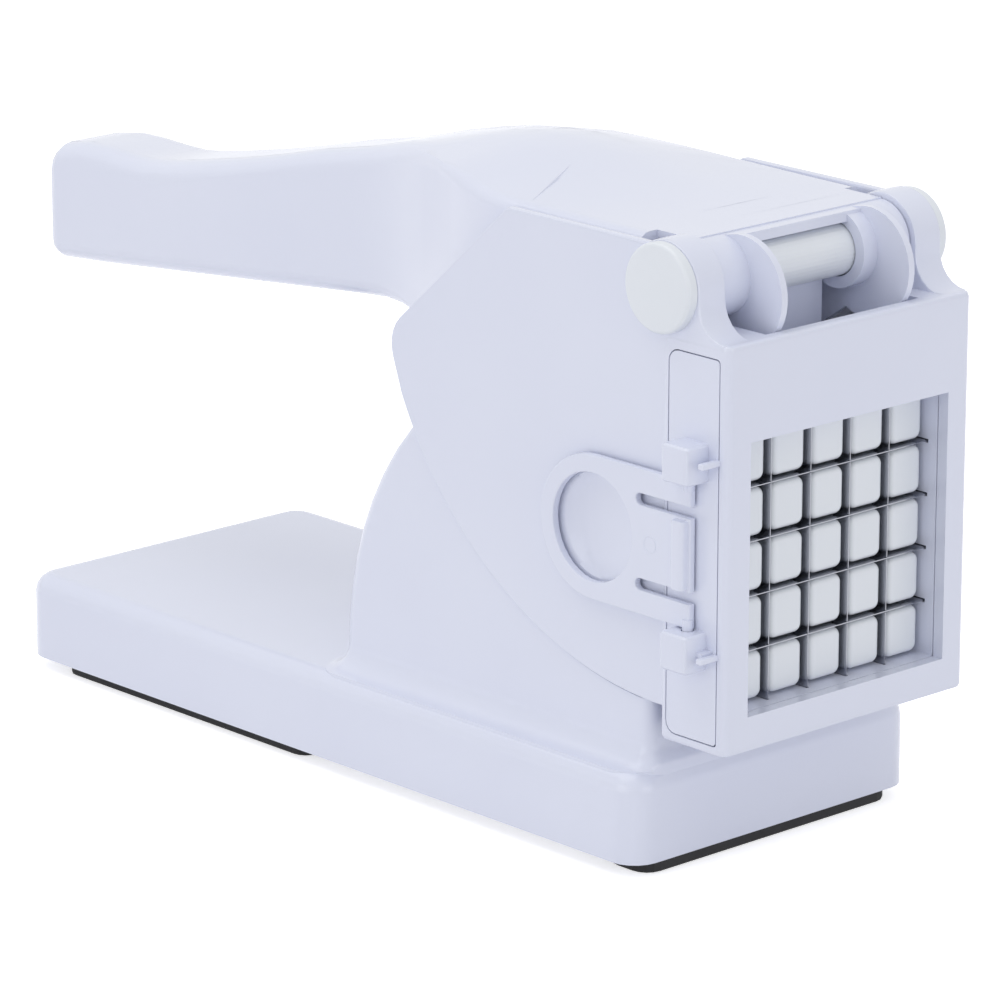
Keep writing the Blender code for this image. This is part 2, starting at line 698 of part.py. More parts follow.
def make_feet():
    """Rubber feet: one strip across the front and one along each side at the rear."""
    half = BASE_WIDTH / 2 - FRONT_FOOT_INSET
    rear = BASE_REAR_X + REAR_FOOT_INSET
    side = BASE_WIDTH / 2 - REAR_FOOT_SIDE_INSET
    spans = {"front_foot": (-FRONT_FOOT_WIDTH / 2, FRONT_FOOT_WIDTH / 2, -half, half),
             "rear_foot_left": (rear, rear + REAR_FOOT_LENGTH, -side, -side + REAR_FOOT_WIDTH),
             "rear_foot_right": (rear, rear + REAR_FOOT_LENGTH, side - REAR_FOOT_WIDTH, side)}
    feet = []
    for name, (x_low, x_high, y_low, y_high) in spans.items():
        radius = min(x_high - x_low, y_high - y_low) / 3
        corners = ((x_low, y_low, radius), (x_high, y_low, radius), (x_high, y_high, radius), (x_low, y_high, radius))
        pad = plate(name, [rounded_outline(corners)], "Z", 0.0, FOOT_HEIGHT, edge=FOOT_EDGE)
        studs = [cylinder("%s_stud_%d" % (name, index), FOOT_STUD_RADIUS, (x, y, FOOT_HEIGHT / 2),
                          (x, y, BASE_PLATE_TOP_Z), sides=SMALL_SIDES)
                 for index, (x, y) in enumerate(foot_stud_places()[name])]
        feet.append(as_part(combine(pad, studs, "UNION"), name, "black_rubber"))
    return feet


def ear_outline():
    """Outline of an ear: its foot in the frame, the flare, the round crown and the back."""
    flare_centre = (PIVOT_X + EAR_RADIUS + EAR_FLARE, FRAME_TOP_Z + EAR_FLARE)
    outline = [(flare_centre[0], FRAME_TOP_Z - EAR_FLARE / 2)]
    outline += arc(flare_centre, EAR_FLARE, 270, 180, FLARE_STEPS)
    outline += arc((PIVOT_X, PIVOT_Z), EAR_RADIUS, 0, 180, EAR_STEPS)
    return outline + [(PIVOT_X - EAR_RADIUS, FRAME_TOP_Z), (FRAME_REAR_X, FRAME_TOP_Z - EAR_RADIUS)]


def cheek_seam():
    """Upper and lower ends of the cheek's slanted edge behind the ear."""
    top = (PIVOT_X - CHEEK_RIM_LENGTH, PIVOT_Z + CHEEK_RIM_RISE)
    return top, (top[0] - CHEEK_SEAM_RUN, top[1] - CHEEK_SEAM_DROP)


def cheek_corner_angle():
    """Angle about the pivot, in degrees, where the cheek's arc starts under its corner."""
    end = cheek_seam()[1]
    return math.degrees(math.atan2(end[1] - PIVOT_Z, end[0] - PIVOT_X)) % 360 + CHEEK_CORNER_DEGREES


def cheek_outline():
    """Outline of a cheek: rim, slanted seam, arc and the edge inside the frame."""
    pivot = (PIVOT_X, PIVOT_Z)
    start = cheek_corner_angle()
    after = arc(pivot, CHEEK_RADIUS, start, start, 1)[0]
    top, end = cheek_seam()
    bends = rounded_outline(((pivot[0], top[1], 0.0), (top[0], top[1], CHEEK_CORNER / 3),
                             (end[0], end[1], CHEEK_CORNER), (after[0], after[1], 0.0)), steps=CHEEK_CORNER_STEPS)
    outline = bends[:-1] + arc(pivot, CHEEK_RADIUS, start, ARC_END_DEGREES, ARC_STEPS)
    inside = FRAME_REAR_X + FRAME_DEPTH / 8
    return outline + [(inside, outline[-1][1]), (inside, FRAME_TOP_Z - EAR_RADIUS), pivot]


def make_housing():
    """Front frame, cheeks, curved rails and ears, moulded as one."""
    frame = rounded_box("housing", (FRAME_REAR_X, -FRAME_HALF, FRAME_BOTTOM_Z),
                        (FRAME_FRONT_X, FRAME_HALF, FRAME_TOP_Z), FRAME_CORNER, FRAME_EDGE, FRAME_EDGE, steps=2)
    pivot = (PIVOT_X, PIVOT_Z)
    start = cheek_corner_angle()
    rail = arc(pivot, CHEEK_RADIUS - SEAT_GAP, start, RAIL_END_DEGREES, ARC_STEPS) + arc(pivot, RAIL_TOP_RADIUS, RAIL_END_DEGREES, start, ARC_STEPS)
    shapes = (("cheek", cheek_outline(), CHEEK_INNER_Y, CHEEK_OUTER_Y, CHEEK_EDGE),
              ("rail", rail, RAIL_INNER_Y, CHEEK_OUTER_Y - CHEEK_WALL / 2, 0.0),
              ("ear", ear_outline(), EAR_INNER_Y, EAR_OUTER_Y, CHEEK_EDGE))
    sides = []
    for sign in (-1, 1):
        for title, outline, inner, outer, edge in shapes:
            low, high = sorted((sign * inner, sign * outer))
            sides.append(plate("%s_%d" % (title, sign), [outline], "Y", low, high, edge=edge))
    frame = combine(frame, sides, "UNION")
    return as_part(cut_housing(frame), "chamber_housing", "white_abs")


def cut_housing(frame):
    """Window, cartridge slot, rebate, trough, pivot bore, finger dish and screw holes."""
    half = GRID_SIZE / 2
    slot_half = half + CARTRIDGE_SIDE_BAR + SEAT_GAP
    window = box("window", (FRAME_REAR_X - OVERRUN, -half, GRID_BOTTOM_Z),
                 (FRAME_FRONT_X + OVERRUN, half, GRID_TOP_Z))
    slot = box("slot", (CARTRIDGE_REAR_X - SEAT_GAP, -FRAME_WIDTH, GRID_BOTTOM_Z - CARTRIDGE_TOP_BAR - SEAT_GAP),
               (CARTRIDGE_FRONT_X + SEAT_GAP, slot_half, GRID_TOP_Z + CARTRIDGE_TOP_BAR + SEAT_GAP))
    rebate = plate("rebate", [end_plate_outline(SEAT_GAP)], "Y", -FRAME_WIDTH, END_PLATE_INNER_Y + SEAT_GAP)
    trough = box("trough", (FRAME_REAR_X - OVERRUN, -TROUGH_HALF_WIDTH, TROUGH_FLOOR_Z),
                 (FRAME_FRONT_X - TROUGH_LIP, TROUGH_HALF_WIDTH, FRAME_TOP_Z + OVERRUN))
    bore = cylinder("bore", SHAFT_CLEAR_RADIUS, (PIVOT_X, -FRAME_WIDTH, PIVOT_Z), (PIVOT_X, FRAME_WIDTH, PIVOT_Z))
    sphere = (DISH_RADIUS ** 2 + DISH_DEPTH ** 2) / (2 * DISH_DEPTH)
    rise = sphere - DISH_DEPTH
    profile = [(0.0, OVERRUN), (DISH_RADIUS, OVERRUN)]
    for step in range(DISH_STEPS + 1):
        radius = DISH_RADIUS * (DISH_STEPS - step) / DISH_STEPS
        profile.append((radius, rise - math.sqrt(sphere ** 2 - radius ** 2)))
    dish = turned("dish", profile, (RING_CENTRE_X, -CHEEK_OUTER_Y, RING_Z), (0, -1, 0), sides=DISH_SIDES)
    tools = [window, slot, rebate, trough, bore, dish]
    for index, (seat, direction) in enumerate(rail_screw_seats()):
        tools.append(cylinder("rail_pilot_%d" % index, SCREW_HOLE_RADIUS, seat,
                              seat + direction * (SCREW_LENGTH + SEAT_GAP), sides=HOLE_SIDES))
    return combine(frame, tools, "DIFFERENCE")


def end_plate_outline(grow):
    """The end plate's outline, grown on every side for its rebate."""
    rear = CARTRIDGE_REAR_X - SEAT_GAP - grow
    front = CARTRIDGE_FRONT_X + SEAT_GAP + grow
    low = END_PLATE_BOTTOM_Z - grow
    high = END_PLATE_TOP_Z + grow
    radius = END_PLATE_CORNER - (SEAT_GAP - grow)
    return rounded_outline(((rear, low, radius), (front, low, radius / 3),
                            (front, high, radius / 3), (rear, high, radius)))


def blade_seats(depth_low, depth_high):
    """Cutters for the slots that the blades' ends lie in."""
    half = GRID_SIZE / 2 + BLADE_END_SEAT + SEAT_GAP
    side = BLADE_THICKNESS / 2 + BLADE_SLOT_GAP
    cuts = []
    for index, place in enumerate(cell_places()[1]):
        cuts.append(box("upright_seat_%d" % index, (depth_low, place - side, GRID_Z - half),
                        (depth_high, place + side, GRID_Z + half)))
        cuts.append(box("level_seat_%d" % index, (depth_low, -half, GRID_Z + place - side),
                        (depth_high, half, GRID_Z + place + side)))
    return cuts


def cartridge_screw_places():
    """Corners of the cartridge where the retainer is screwed on."""
    side = GRID_SIZE / 2 - SCREW_HOLE_RADIUS + CARTRIDGE_SIDE_BAR
    height = GRID_SIZE / 2 + CARTRIDGE_TOP_BAR / 2
    return [(sign * (side - CARTRIDGE_SIDE_BAR), GRID_Z + rise * height) for sign in (-1, 1) for rise in (-1, 1)]


def make_cartridge():
    """The blade holder with its end plate and hinge blocks, and the retainer behind the blades."""
    half = GRID_SIZE / 2
    bar = half + CARTRIDGE_SIDE_BAR
    low = GRID_BOTTOM_Z - CARTRIDGE_TOP_BAR
    high = GRID_TOP_Z + CARTRIDGE_TOP_BAR
    split_x = CARTRIDGE_REAR_X + RETAINER_DEPTH
    holder = box("holder", (split_x + SEAT_GAP, END_PLATE_OUTER_Y + END_PLATE_THICKNESS / 2, low),
                 (CARTRIDGE_FRONT_X, bar, high))
    retainer = box("retainer", (CARTRIDGE_REAR_X, END_PLATE_INNER_Y + SEAT_GAP, low), (split_x, bar, high))
    end_plate = plate("end_plate", [end_plate_outline(0.0)], "Y", END_PLATE_OUTER_Y, END_PLATE_INNER_Y)
    additions = [end_plate]
    for sign in (-1, 1):
        middle = RING_Z + sign * hinge_block_offset()
        block_front = RING_AXIS_X + HINGE_BLOCK_WIDTH / 2
        block_rear = RING_AXIS_X - HINGE_BLOCK_WIDTH / 2
        additions.append(rounded_box("hinge_block_%d" % sign,
                                     (block_rear, END_PLATE_OUTER_Y - HINGE_BLOCK_PROUD,
                                      middle - HINGE_BLOCK_HEIGHT / 2),
                                     (block_front, END_PLATE_OUTER_Y + END_PLATE_THICKNESS / 2,
                                      middle + HINGE_BLOCK_HEIGHT / 2),
                                     HINGE_BLOCK_FIN, HINGE_BLOCK_FIN / 2, HINGE_BLOCK_FIN / 2, steps=1))
        additions.append(box("hinge_fin_%d" % sign,
                             (block_front - HINGE_BLOCK_FIN, END_PLATE_OUTER_Y - HINGE_BLOCK_PROUD / 2,
                              middle - HINGE_BLOCK_FIN / 2),
                             (CARTRIDGE_FRONT_X - HINGE_BLOCK_FIN, END_PLATE_OUTER_Y + END_PLATE_THICKNESS / 3,
                              middle + HINGE_BLOCK_FIN / 2)))
    holder = combine(holder, additions, "UNION")
    cuts = [box("holder_window", (CARTRIDGE_REAR_X - OVERRUN, -half, GRID_BOTTOM_Z),
                (CARTRIDGE_FRONT_X + OVERRUN, half, GRID_TOP_Z))]
    cuts += blade_seats(split_x, BLADE_FRONT_X + SEAT_GAP)
    reach = hinge_block_offset() + HINGE_BLOCK_HEIGHT / 2 - HINGE_BLOCK_FLOOR
    cuts.append(cylinder("pin_bore", RING_PIN_BORE, (RING_AXIS_X, RING_AXIS_Y, RING_Z - reach),
                         (RING_AXIS_X, RING_AXIS_Y, RING_Z + reach), sides=SMALL_SIDES))
    for index, (y, z) in enumerate(cartridge_screw_places()):
        cuts.append(cylinder("holder_pilot_%d" % index, SCREW_HOLE_RADIUS, (split_x - OVERRUN, y, z),
                             (split_x + SCREW_LENGTH - RETAINER_DEPTH / 2 + SEAT_GAP, y, z), sides=HOLE_SIDES))
    holder = combine(holder, cuts, "DIFFERENCE")
    room = [box("retainer_window", (CARTRIDGE_REAR_X - OVERRUN, -half, GRID_BOTTOM_Z),
                (CARTRIDGE_FRONT_X, half, GRID_TOP_Z))]
    screws = []
    for index, (y, z) in enumerate(cartridge_screw_places()):
        seat = (CARTRIDGE_REAR_X + RETAINER_DEPTH / 2, y, z)
        room.append(screw_hole("retainer_hole_%d" % index, seat, (1, 0, 0), RETAINER_DEPTH, RETAINER_DEPTH))
        screws.append(screw("retainer_screw_%d" % (index + 1), seat, (1, 0, 0)))
    retainer = combine(retainer, room, "DIFFERENCE")
    return [as_part(holder, "cartridge_frame", "white_nylon"),
            as_part(retainer, "blade_retainer", "white_nylon")] + screws


def hinge_block_offset():
    """Height of each hinge block's middle from the ring's middle."""
    return RING_HOLE_RADIUS + RING_BAND + SEAT_GAP + HINGE_BLOCK_HEIGHT / 2


def blade_outline(open_to_front):
    """A strip with a notch at each crossing, as (depth, along) points."""
    half = GRID_SIZE / 2 + BLADE_END_SEAT
    side = BLADE_THICKNESS / 2 + BLADE_SLOT_GAP
    middle = (BLADE_FRONT_X + BLADE_REAR_X) / 2
    notched, plain, stop = BLADE_FRONT_X, BLADE_REAR_X, middle - SEAT_GAP / 2
    if not open_to_front:
        notched, plain, stop = BLADE_REAR_X, BLADE_FRONT_X, middle + SEAT_GAP / 2
    outline = [(plain, -half), (notched, -half)]
    for place in cell_places()[1]:
        outline += [(notched, place - side), (stop, place - side), (stop, place + side), (notched, place + side)]
    return outline + [(notched, half), (plain, half)]


def make_blades():
    """Upright and level blades, half-lapped where they cross."""
    blades = []
    for index, place in enumerate(cell_places()[1]):
        outline = [(x, GRID_Z + along) for x, along in blade_outline(True)]
        name = "vertical_blade_%d" % (index + 1)
        item = plate(name, [outline], "Y", place - BLADE_THICKNESS / 2, place + BLADE_THICKNESS / 2)
        blades.append(as_part(item, name, "stainless"))
    for index, place in enumerate(cell_places()[1]):
        name = "horizontal_blade_%d" % (index + 1)
        item = plate(name, [blade_outline(False)], "Z", GRID_Z + place - BLADE_THICKNESS / 2,
                     GRID_Z + place + BLADE_THICKNESS / 2)
        blades.append(as_part(item, name, "stainless"))
    return blades


def pusher_screw_places():
    """Places of the screws that hold the pusher on its hanger."""
    side = HANGER_HALF_WIDTH - SCREW_HEAD_RADIUS - WALL / 2
    return [(sign * side, GRID_Z + rise * CUT_PITCH) for sign in (-1, 1) for rise in (-2, 1.5)]


def make_pusher():
    """The pusher: a plate with one post for each cell, moulded as one."""
    half = GRID_SIZE / 2 - PUSHER_MARGIN
    corners = [(-half, GRID_Z - half, POST_CORNER), (half, GRID_Z - half, POST_CORNER),
               (half, GRID_Z + half, POST_CORNER), (-half, GRID_Z + half, POST_CORNER)]
    block = plate("pusher", [rounded_outline(corners)], "X", PUSHER_REAR_X, PUSHER_FRONT_X, edge=PUSHER_EDGE)
    posts = []
    for y in cell_places()[0]:
        for rise in cell_places()[0]:
            z = GRID_Z + rise
            corners = [(y - POST_HALF_WIDTH, z - POST_HALF_HEIGHT, POST_CORNER),
                       (y + POST_HALF_WIDTH, z - POST_HALF_HEIGHT, POST_CORNER),
                       (y + POST_HALF_WIDTH, z + POST_HALF_HEIGHT, POST_CORNER),
                       (y - POST_HALF_WIDTH, z + POST_HALF_HEIGHT, POST_CORNER)]
            posts.append(plate("post", [rounded_outline(corners, steps=EDGE_STEPS)], "X",
                               PUSHER_FRONT_X - PUSHER_PLATE / 3, POST_FRONT_X, edge=POST_EDGE))
    block = combine(block, [join_bodies("posts", posts)], "UNION")
    seat_x = HANGER_REAR_X
    holes = []
    screws = []
    for index, (y, z) in enumerate(pusher_screw_places()):
        holes.append(cylinder("pusher_pilot_%d" % index, SCREW_HOLE_RADIUS, (PUSHER_REAR_X - OVERRUN, y, z),
                              (seat_x + SCREW_LENGTH + SEAT_GAP, y, z), sides=HOLE_SIDES))
        screws.append(screw("pusher_screw_%d" % (index + 1), (seat_x - SEAT_GAP, y, z), (1, 0, 0)))
    block = combine(block, holes, "DIFFERENCE")
    return [as_part(block, "pusher_block", "white_nylon")] + screws


def lever_half_width(back):
    """Half width of the lever at a distance behind the pivot: cover, flare, handle."""
    t = min(max((FLARE_START - back) / (FLARE_START - FLARE_END), 0.0), 1.0)
    return HANDLE_WIDTH / 2 + (COVER_HALF - HANDLE_WIDTH / 2) * t * t * (3 - 2 * t)


def lever_top(back):
    """Height of the lever's top line at a distance behind the pivot."""
    return PIVOT_Z + LEVER_RISE * interpolate(TOP_LINE_SHARES, back / LEVER_REACH)


def lever_underside(back):
    """Height of the lever's lower line at a distance behind the pivot."""
    return PIVOT_Z + HANDLE_DROP * interpolate(UNDERSIDE_SHARES, back / LEVER_REACH)


def lever_blend(back):
    """How far the lever has widened from the handle, 0, to the cover, 1."""
    return (lever_half_width(back) - HANDLE_WIDTH / 2) / (COVER_HALF - HANDLE_WIDTH / 2)


def lever_section(back, wall, lowered):
    """A rounded, crowned section of the lever, drawn in by a wall, with its lower side let down."""
    inset = 0.0
    to_end = LEVER_REACH - back
    if to_end < HANDLE_CORNER and wall == 0.0:
        inset = HANDLE_CORNER - math.sqrt(HANDLE_CORNER ** 2 - (HANDLE_CORNER - to_end) ** 2)
    blend = lever_blend(back)
    half = lever_half_width(back) - wall - inset
    top = lever_top(back) - wall - inset
    crown = max(top + wall + inset - PIVOT_Z - COVER_RISE, 0.0) * blend
    low = lever_underside(back) + wall + inset - lowered
    corner = HANDLE_CORNER + (COVER_CORNER - HANDLE_CORNER) * blend - wall
    low_corner = max(HANDLE_LOW_CORNER * (1 - 3 * blend), SEAT_GAP) if lowered == 0 else SEAT_GAP
    corners = [(-half, low, low_corner), (half, low, low_corner), (half, top - crown, corner)]
    for share in CROWN_SHARES:
        corners.append(((half - corner) * share, top - crown * share * share, 0.0))
    corners.append((-half, top - crown, corner))
    return [(PIVOT_X - back, y, z) for y, z in rounded_outline(corners, steps=CORNER_STEPS)]


def lever_backs(start, end, count):
    """Distances behind the pivot, evenly spread."""
    return [start + (end - start) * index / count for index in range(count + 1)]


def web_outline():
    """Side web of the lever: nose round the shaft's front, roof line, gusset and hanger."""
    nose = (PIVOT_X + NOSE_AHEAD, PIVOT_Z - NOSE_BELOW)
    outline = arc(nose, NOSE_RADIUS, NOSE_START_DEGREES, NOSE_END_DEGREES, NOSE_STEPS)
    hanger_low = GRID_BOTTOM_Z + CUT_PITCH / 3
    outline += [(HANGER_FRONT_X, GRID_TOP_Z + CUT_PITCH), (HANGER_FRONT_X, hanger_low),
                (HANGER_REAR_X - HANGER_PLATE, hanger_low), (HANGER_REAR_X - CUT_PITCH, GRID_TOP_Z),
                (PIVOT_X - FLARE_END, PIVOT_Z)]
    for back in lever_backs(FLARE_END, COVER_LIP, LIP_STEPS):
        outline.append((PIVOT_X - back, lever_top(back) - WALL / 2))
    return outline


def make_lever():
    """Handle, cover, hubs, webs and pusher hanger, moulded as one."""
    tip = [LEVER_REACH - HANDLE_CORNER * (1 - math.cos(math.radians(angle))) for angle in TIP_DEGREES]
    backs = lever_backs(0.0, LEVER_REACH - HANDLE_CORNER, LEVER_STEPS)[:-1] + tip[::-1]
    lever = loft("lever", [lever_section(back, 0.0, 0.0) for back in backs])
    inside = lever_backs(-OVERRUN, FLARE_START - OVERRUN, COVER_STEPS)
    cover_hollow = loft("cover_hollow", [lever_section(back, WALL, HANDLE_DROP) for back in inside])
    along = lever_backs(FLARE_START - 3 * OVERRUN, LEVER_REACH - 2 * WALL, HANDLE_STEPS)
    handle_hollow = loft("handle_hollow", [lever_section(back, WALL, 0.0) for back in along])
    lever = combine(lever, [cover_hollow, handle_hollow], "DIFFERENCE")
    lip_top = PIVOT_Z + COVER_RISE - SEAT_GAP
    additions = [box("lip", (PIVOT_X - COVER_LIP, -WEB_OUTER_Y, lip_top - WALL),
                     (PIVOT_X + COVER_LIP, WEB_OUTER_Y, lip_top))]
    cuts = []
    for sign in (-1, 1):
        low, high = sorted((sign * HUB_INNER_Y, sign * (HUB_OUTER_Y + SEAT_GAP)))
        additions.append(cylinder("hub_%d" % sign, HUB_RADIUS, (PIVOT_X, low, PIVOT_Z), (PIVOT_X, high, PIVOT_Z)))
        low, high = sorted((sign * WEB_OUTER_Y, sign * (WEB_OUTER_Y - WEB_THICKNESS)))
        additions.append(plate("web_%d" % sign, [web_outline()], "Y", low, high))
        low, high = sorted((sign * HUB_OUTER_Y, sign * FRAME_WIDTH))
        cuts.append(box("notch_%d" % sign, (PIVOT_X - COVER_NOTCH_BACK, low, 0.0),
                        (PIVOT_X + FRAME_WIDTH, high, PIVOT_Z + FRAME_WIDTH)))
    hanger_low = GRID_BOTTOM_Z + CUT_PITCH / 4
    additions.append(box("hanger", (HANGER_REAR_X, -HANGER_HALF_WIDTH, hanger_low),
                         (HANGER_FRONT_X, HANGER_HALF_WIDTH, GRID_TOP_Z)))
    web_inner = WEB_OUTER_Y - WEB_THICKNESS / 2
    additions.append(box("hanger_neck", (HANGER_REAR_X + SEAT_GAP, -web_inner, GRID_TOP_Z - WALL),
                         (HANGER_FRONT_X - SEAT_GAP, web_inner, lever_top(PIVOT_X - HANGER_REAR_X) - WALL / 2)))
    additions.append(box("spine", (HANGER_REAR_X + HANGER_PLATE / 2, -SPINE_HALF_WIDTH, GRID_TOP_Z),
                         (HANGER_FRONT_X + SPINE_DEPTH, SPINE_HALF_WIDTH, PIVOT_Z - SHAFT_CLEAR_RADIUS)))
    lever = combine(lever, additions, "UNION")
    cuts.append(cylinder("hub_bore", SHAFT_CLEAR_RADIUS, (PIVOT_X, -FRAME_WIDTH, PIVOT_Z),
                         (PIVOT_X, FRAME_WIDTH, PIVOT_Z)))
    for index, (y, z) in enumerate(pusher_screw_places()):
        cuts.append(cylinder("hanger_hole_%d" % index, SCREW_HOLE_RADIUS, (HANGER_REAR_X - OVERRUN, y, z),
                             (HANGER_FRONT_X + OVERRUN, y, z), sides=HOLE_SIDES))
    return as_part(combine(lever, cuts, "DIFFERENCE"), "lever_body", "white_abs")


def make_shaft_and_caps():
    """The cross shaft, a tube, and the caps whose stubs plug its ends."""
    end = EAR_OUTER_Y
    shaft = cylinder("shaft", SHAFT_RADIUS, (PIVOT_X, -end, PIVOT_Z), (PIVOT_X, end, PIVOT_Z), sides=CAP_SIDES)
    bore = cylinder("shaft_bore", SHAFT_BORE_RADIUS, (PIVOT_X, -FRAME_WIDTH, PIVOT_Z),
                    (PIVOT_X, FRAME_WIDTH, PIVOT_Z), sides=BORE_SIDES)
    parts = [as_part(combine(shaft, [bore], "DIFFERENCE"), "pivot_shaft", "white_nylon")]
    stub = SHAFT_BORE_RADIUS - SEAT_GAP
    face = SEAT_GAP
    rim = CAP_PROUD + face
    for label, sign in (("left_cap", -1), ("right_cap", 1)):
        profile = [(0.0, rim), (CAP_RADIUS - CAP_EDGE, rim), (CAP_RADIUS - CAP_EDGE / 3, rim - CAP_EDGE / 3),
                   (CAP_RADIUS, rim - CAP_EDGE), (CAP_RADIUS, face), (stub, face),
                   (stub, -CAP_STUB_LENGTH), (0.0, -CAP_STUB_LENGTH)]
        item = turned(label, profile, (PIVOT_X, sign * end, PIVOT_Z), (0, sign, 0), sides=CAP_SIDES)
        parts.append(as_part(item, label, "white_nylon"))
    return parts


def make_ring():
    """The pull ring, with a stiffening bar and stub pins that turn in the cartridge's blocks."""
    outer = RING_HOLE_RADIUS + RING_BAND
    tip = RING_AXIS_X + RING_TAB_OVERHANG
    slot = RING_SLOT_WIDTH / 2
    slot_end = tip - RING_SLOT_LENGTH
    outline = arc((RING_CENTRE_X, RING_Z), outer, 90, 270, RING_STEPS)
    outline.append((tip, RING_Z - outer))
    for sign in (-1, 1):
        middle = RING_Z + sign * RING_SLOT_OFFSET
        outline.append((tip, middle - slot))
        outline += arc((slot_end + slot, middle), slot, 270, 90, SLOT_STEPS)
        outline.append((tip, middle + slot))
    outline.append((tip, RING_Z + outer))
    hole = arc((RING_CENTRE_X, RING_Z), RING_HOLE_RADIUS, 0, RING_SPAN, CAP_SIDES - 1)
    ring = plate("ring", [outline, hole], "Y", RING_OUTER_Y, RING_INNER_Y, edge=RING_EDGE)
    bar_half = RING_SLOT_OFFSET - slot - RING_EDGE
    bar = rounded_box("bar", (tip - RING_BAR_WIDTH, RING_OUTER_Y - RING_BAR_PROUD, RING_Z - bar_half),
                      (tip - RING_EDGE, RING_OUTER_Y + RING_PLATE / 2, RING_Z + bar_half),
                      RING_BAR_PROUD / 2, RING_EDGE, RING_EDGE, steps=2)
    reach = hinge_block_offset() + HINGE_BLOCK_HEIGHT / 2 - HINGE_BLOCK_FLOOR - SEAT_GAP
    pins = []
    for sign in (-1, 1):
        low, high = sorted((RING_Z + sign * (outer - RING_BAND / 2), RING_Z + sign * reach))
        pins.append(cylinder("pin_%d" % sign, RING_PIN_RADIUS, (RING_AXIS_X, RING_AXIS_Y, low),
                             (RING_AXIS_X, RING_AXIS_Y, high), sides=SMALL_SIDES))
    return as_part(combine(ring, [bar] + pins, "UNION"), "pull_ring", "white_nylon")


def make_screws():
    """Screws of the bottom plate and of the housing's rails."""
    seat_z = BASE_PLATE_BOTTOM_Z + SCREW_HEAD_HEIGHT - SEAT_GAP
    screws = [screw("base_screw_%d" % (index + 1), (x, y, seat_z), (0, 0, 1))
              for index, (x, y) in enumerate(base_screw_places())]
    screws += [screw("housing_screw_%d" % (index + 1), seat - direction * SEAT_GAP, direction)
               for index, (seat, direction) in enumerate(rail_screw_seats())]
    return screws


def build():
    """Make every part, then hang the moving ones on their axes."""
    clear_scene()
    make_base_shell()
    make_base_plate()
    make_feet()
    make_housing()
    make_cartridge()
    make_blades()
    make_shaft_and_caps()
    make_screws()
    lever = make_lever()
    pusher = make_pusher()
    ring = make_ring()
    hang_on_axis("lever_axis", (PIVOT_X, 0.0, PIVOT_Z), [lever] + pusher)
    hang_on_axis("ring_axis", (RING_AXIS_X, RING_AXIS_Y, RING_Z), [ring])
    print("parts:", len([item for item in bpy.data.collections[PARTS].objects if item.type == "MESH"]))


build()
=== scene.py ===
# %% [markdown]
# # A lever cutter for potato sticks
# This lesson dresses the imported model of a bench-top cutter: a white moulded body, a long lever
# that swings a block of square posts, and a grid of thin steel blades in a cartridge.
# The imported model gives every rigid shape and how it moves. The lesson adds the fine forms that
# the eye expects at close range, and the finishes: glossy ABS, satin nylon, ground steel, zinc
# plate and rubber.

import json
import math

import bmesh
import bpy
import numpy as np
from mathutils import Matrix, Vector
from mathutils.bvhtree import BVHTree


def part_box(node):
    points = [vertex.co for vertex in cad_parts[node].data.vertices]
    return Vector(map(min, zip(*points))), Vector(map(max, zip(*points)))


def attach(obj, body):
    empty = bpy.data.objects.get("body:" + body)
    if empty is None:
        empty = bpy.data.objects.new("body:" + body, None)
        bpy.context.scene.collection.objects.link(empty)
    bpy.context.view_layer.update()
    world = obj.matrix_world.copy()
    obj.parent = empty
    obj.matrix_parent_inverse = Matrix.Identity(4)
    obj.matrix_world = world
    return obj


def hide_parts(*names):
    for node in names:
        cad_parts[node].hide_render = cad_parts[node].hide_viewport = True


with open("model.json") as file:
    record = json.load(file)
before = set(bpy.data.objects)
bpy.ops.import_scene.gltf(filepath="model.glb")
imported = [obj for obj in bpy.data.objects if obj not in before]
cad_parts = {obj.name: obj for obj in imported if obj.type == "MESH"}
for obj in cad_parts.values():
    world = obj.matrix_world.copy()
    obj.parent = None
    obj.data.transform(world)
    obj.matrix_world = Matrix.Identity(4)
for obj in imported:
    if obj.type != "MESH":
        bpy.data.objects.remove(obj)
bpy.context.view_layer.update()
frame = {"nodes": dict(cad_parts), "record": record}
MM = 0.001

# %% [markdown]
# ## Colours and nodes
# A colour is written as the hex value that a designer would read from a sample card. Cycles works
# in linear light, so one function turns hex into linear numbers. A second small function adds any
# shader node with its settings and links, so that each finish reads as a short list.

# %% Two small helpers for finishes


def linear(code):
    """Linear RGBA of an sRGB hex code.

    A channel c is c / 12.92 up to 0.04045, and ((c + 0.055) / 1.055) ** 2.4 above that.
    """
    channels = [int(code[i:i + 2], 16) / 255 for i in (1, 3, 5)]
    light = [c / 12.92 if c <= 0.04045 else ((c + 0.055) / 1.055) ** 2.4 for c in channels]
    return light + [1.0]


def add(tree, kind, settings=None, **inputs):
    """Adds a shader node.

    Settings are its properties. Inputs are values or other nodes' sockets, under the socket's
    name or, as in _6, its number.
    """
    node = tree.nodes.new("ShaderNode" + kind)
    for key, value in (settings or {}).items():
        setattr(node, key, value)
    for key, value in inputs.items():
        socket = node.inputs[int(key[1:]) if key[1:].isdigit() else key.replace("_", " ")]
        if isinstance(value, bpy.types.NodeSocket):
            tree.links.new(value, socket)
        else:
            socket.default_value = value
    return node


def finish_tree(name, **constants):
    """A new material with one Principled shader; constants go on the shader's own sockets."""
    material = bpy.data.materials.new(name)
    material.use_nodes = True
    shader = material.node_tree.nodes["Principled BSDF"]
    for key, value in constants.items():
        shader.inputs[key.replace("_", " ")].default_value = value
    place = add(material.node_tree, "TexCoord").outputs["Object"]
    return material, material.node_tree, shader, place


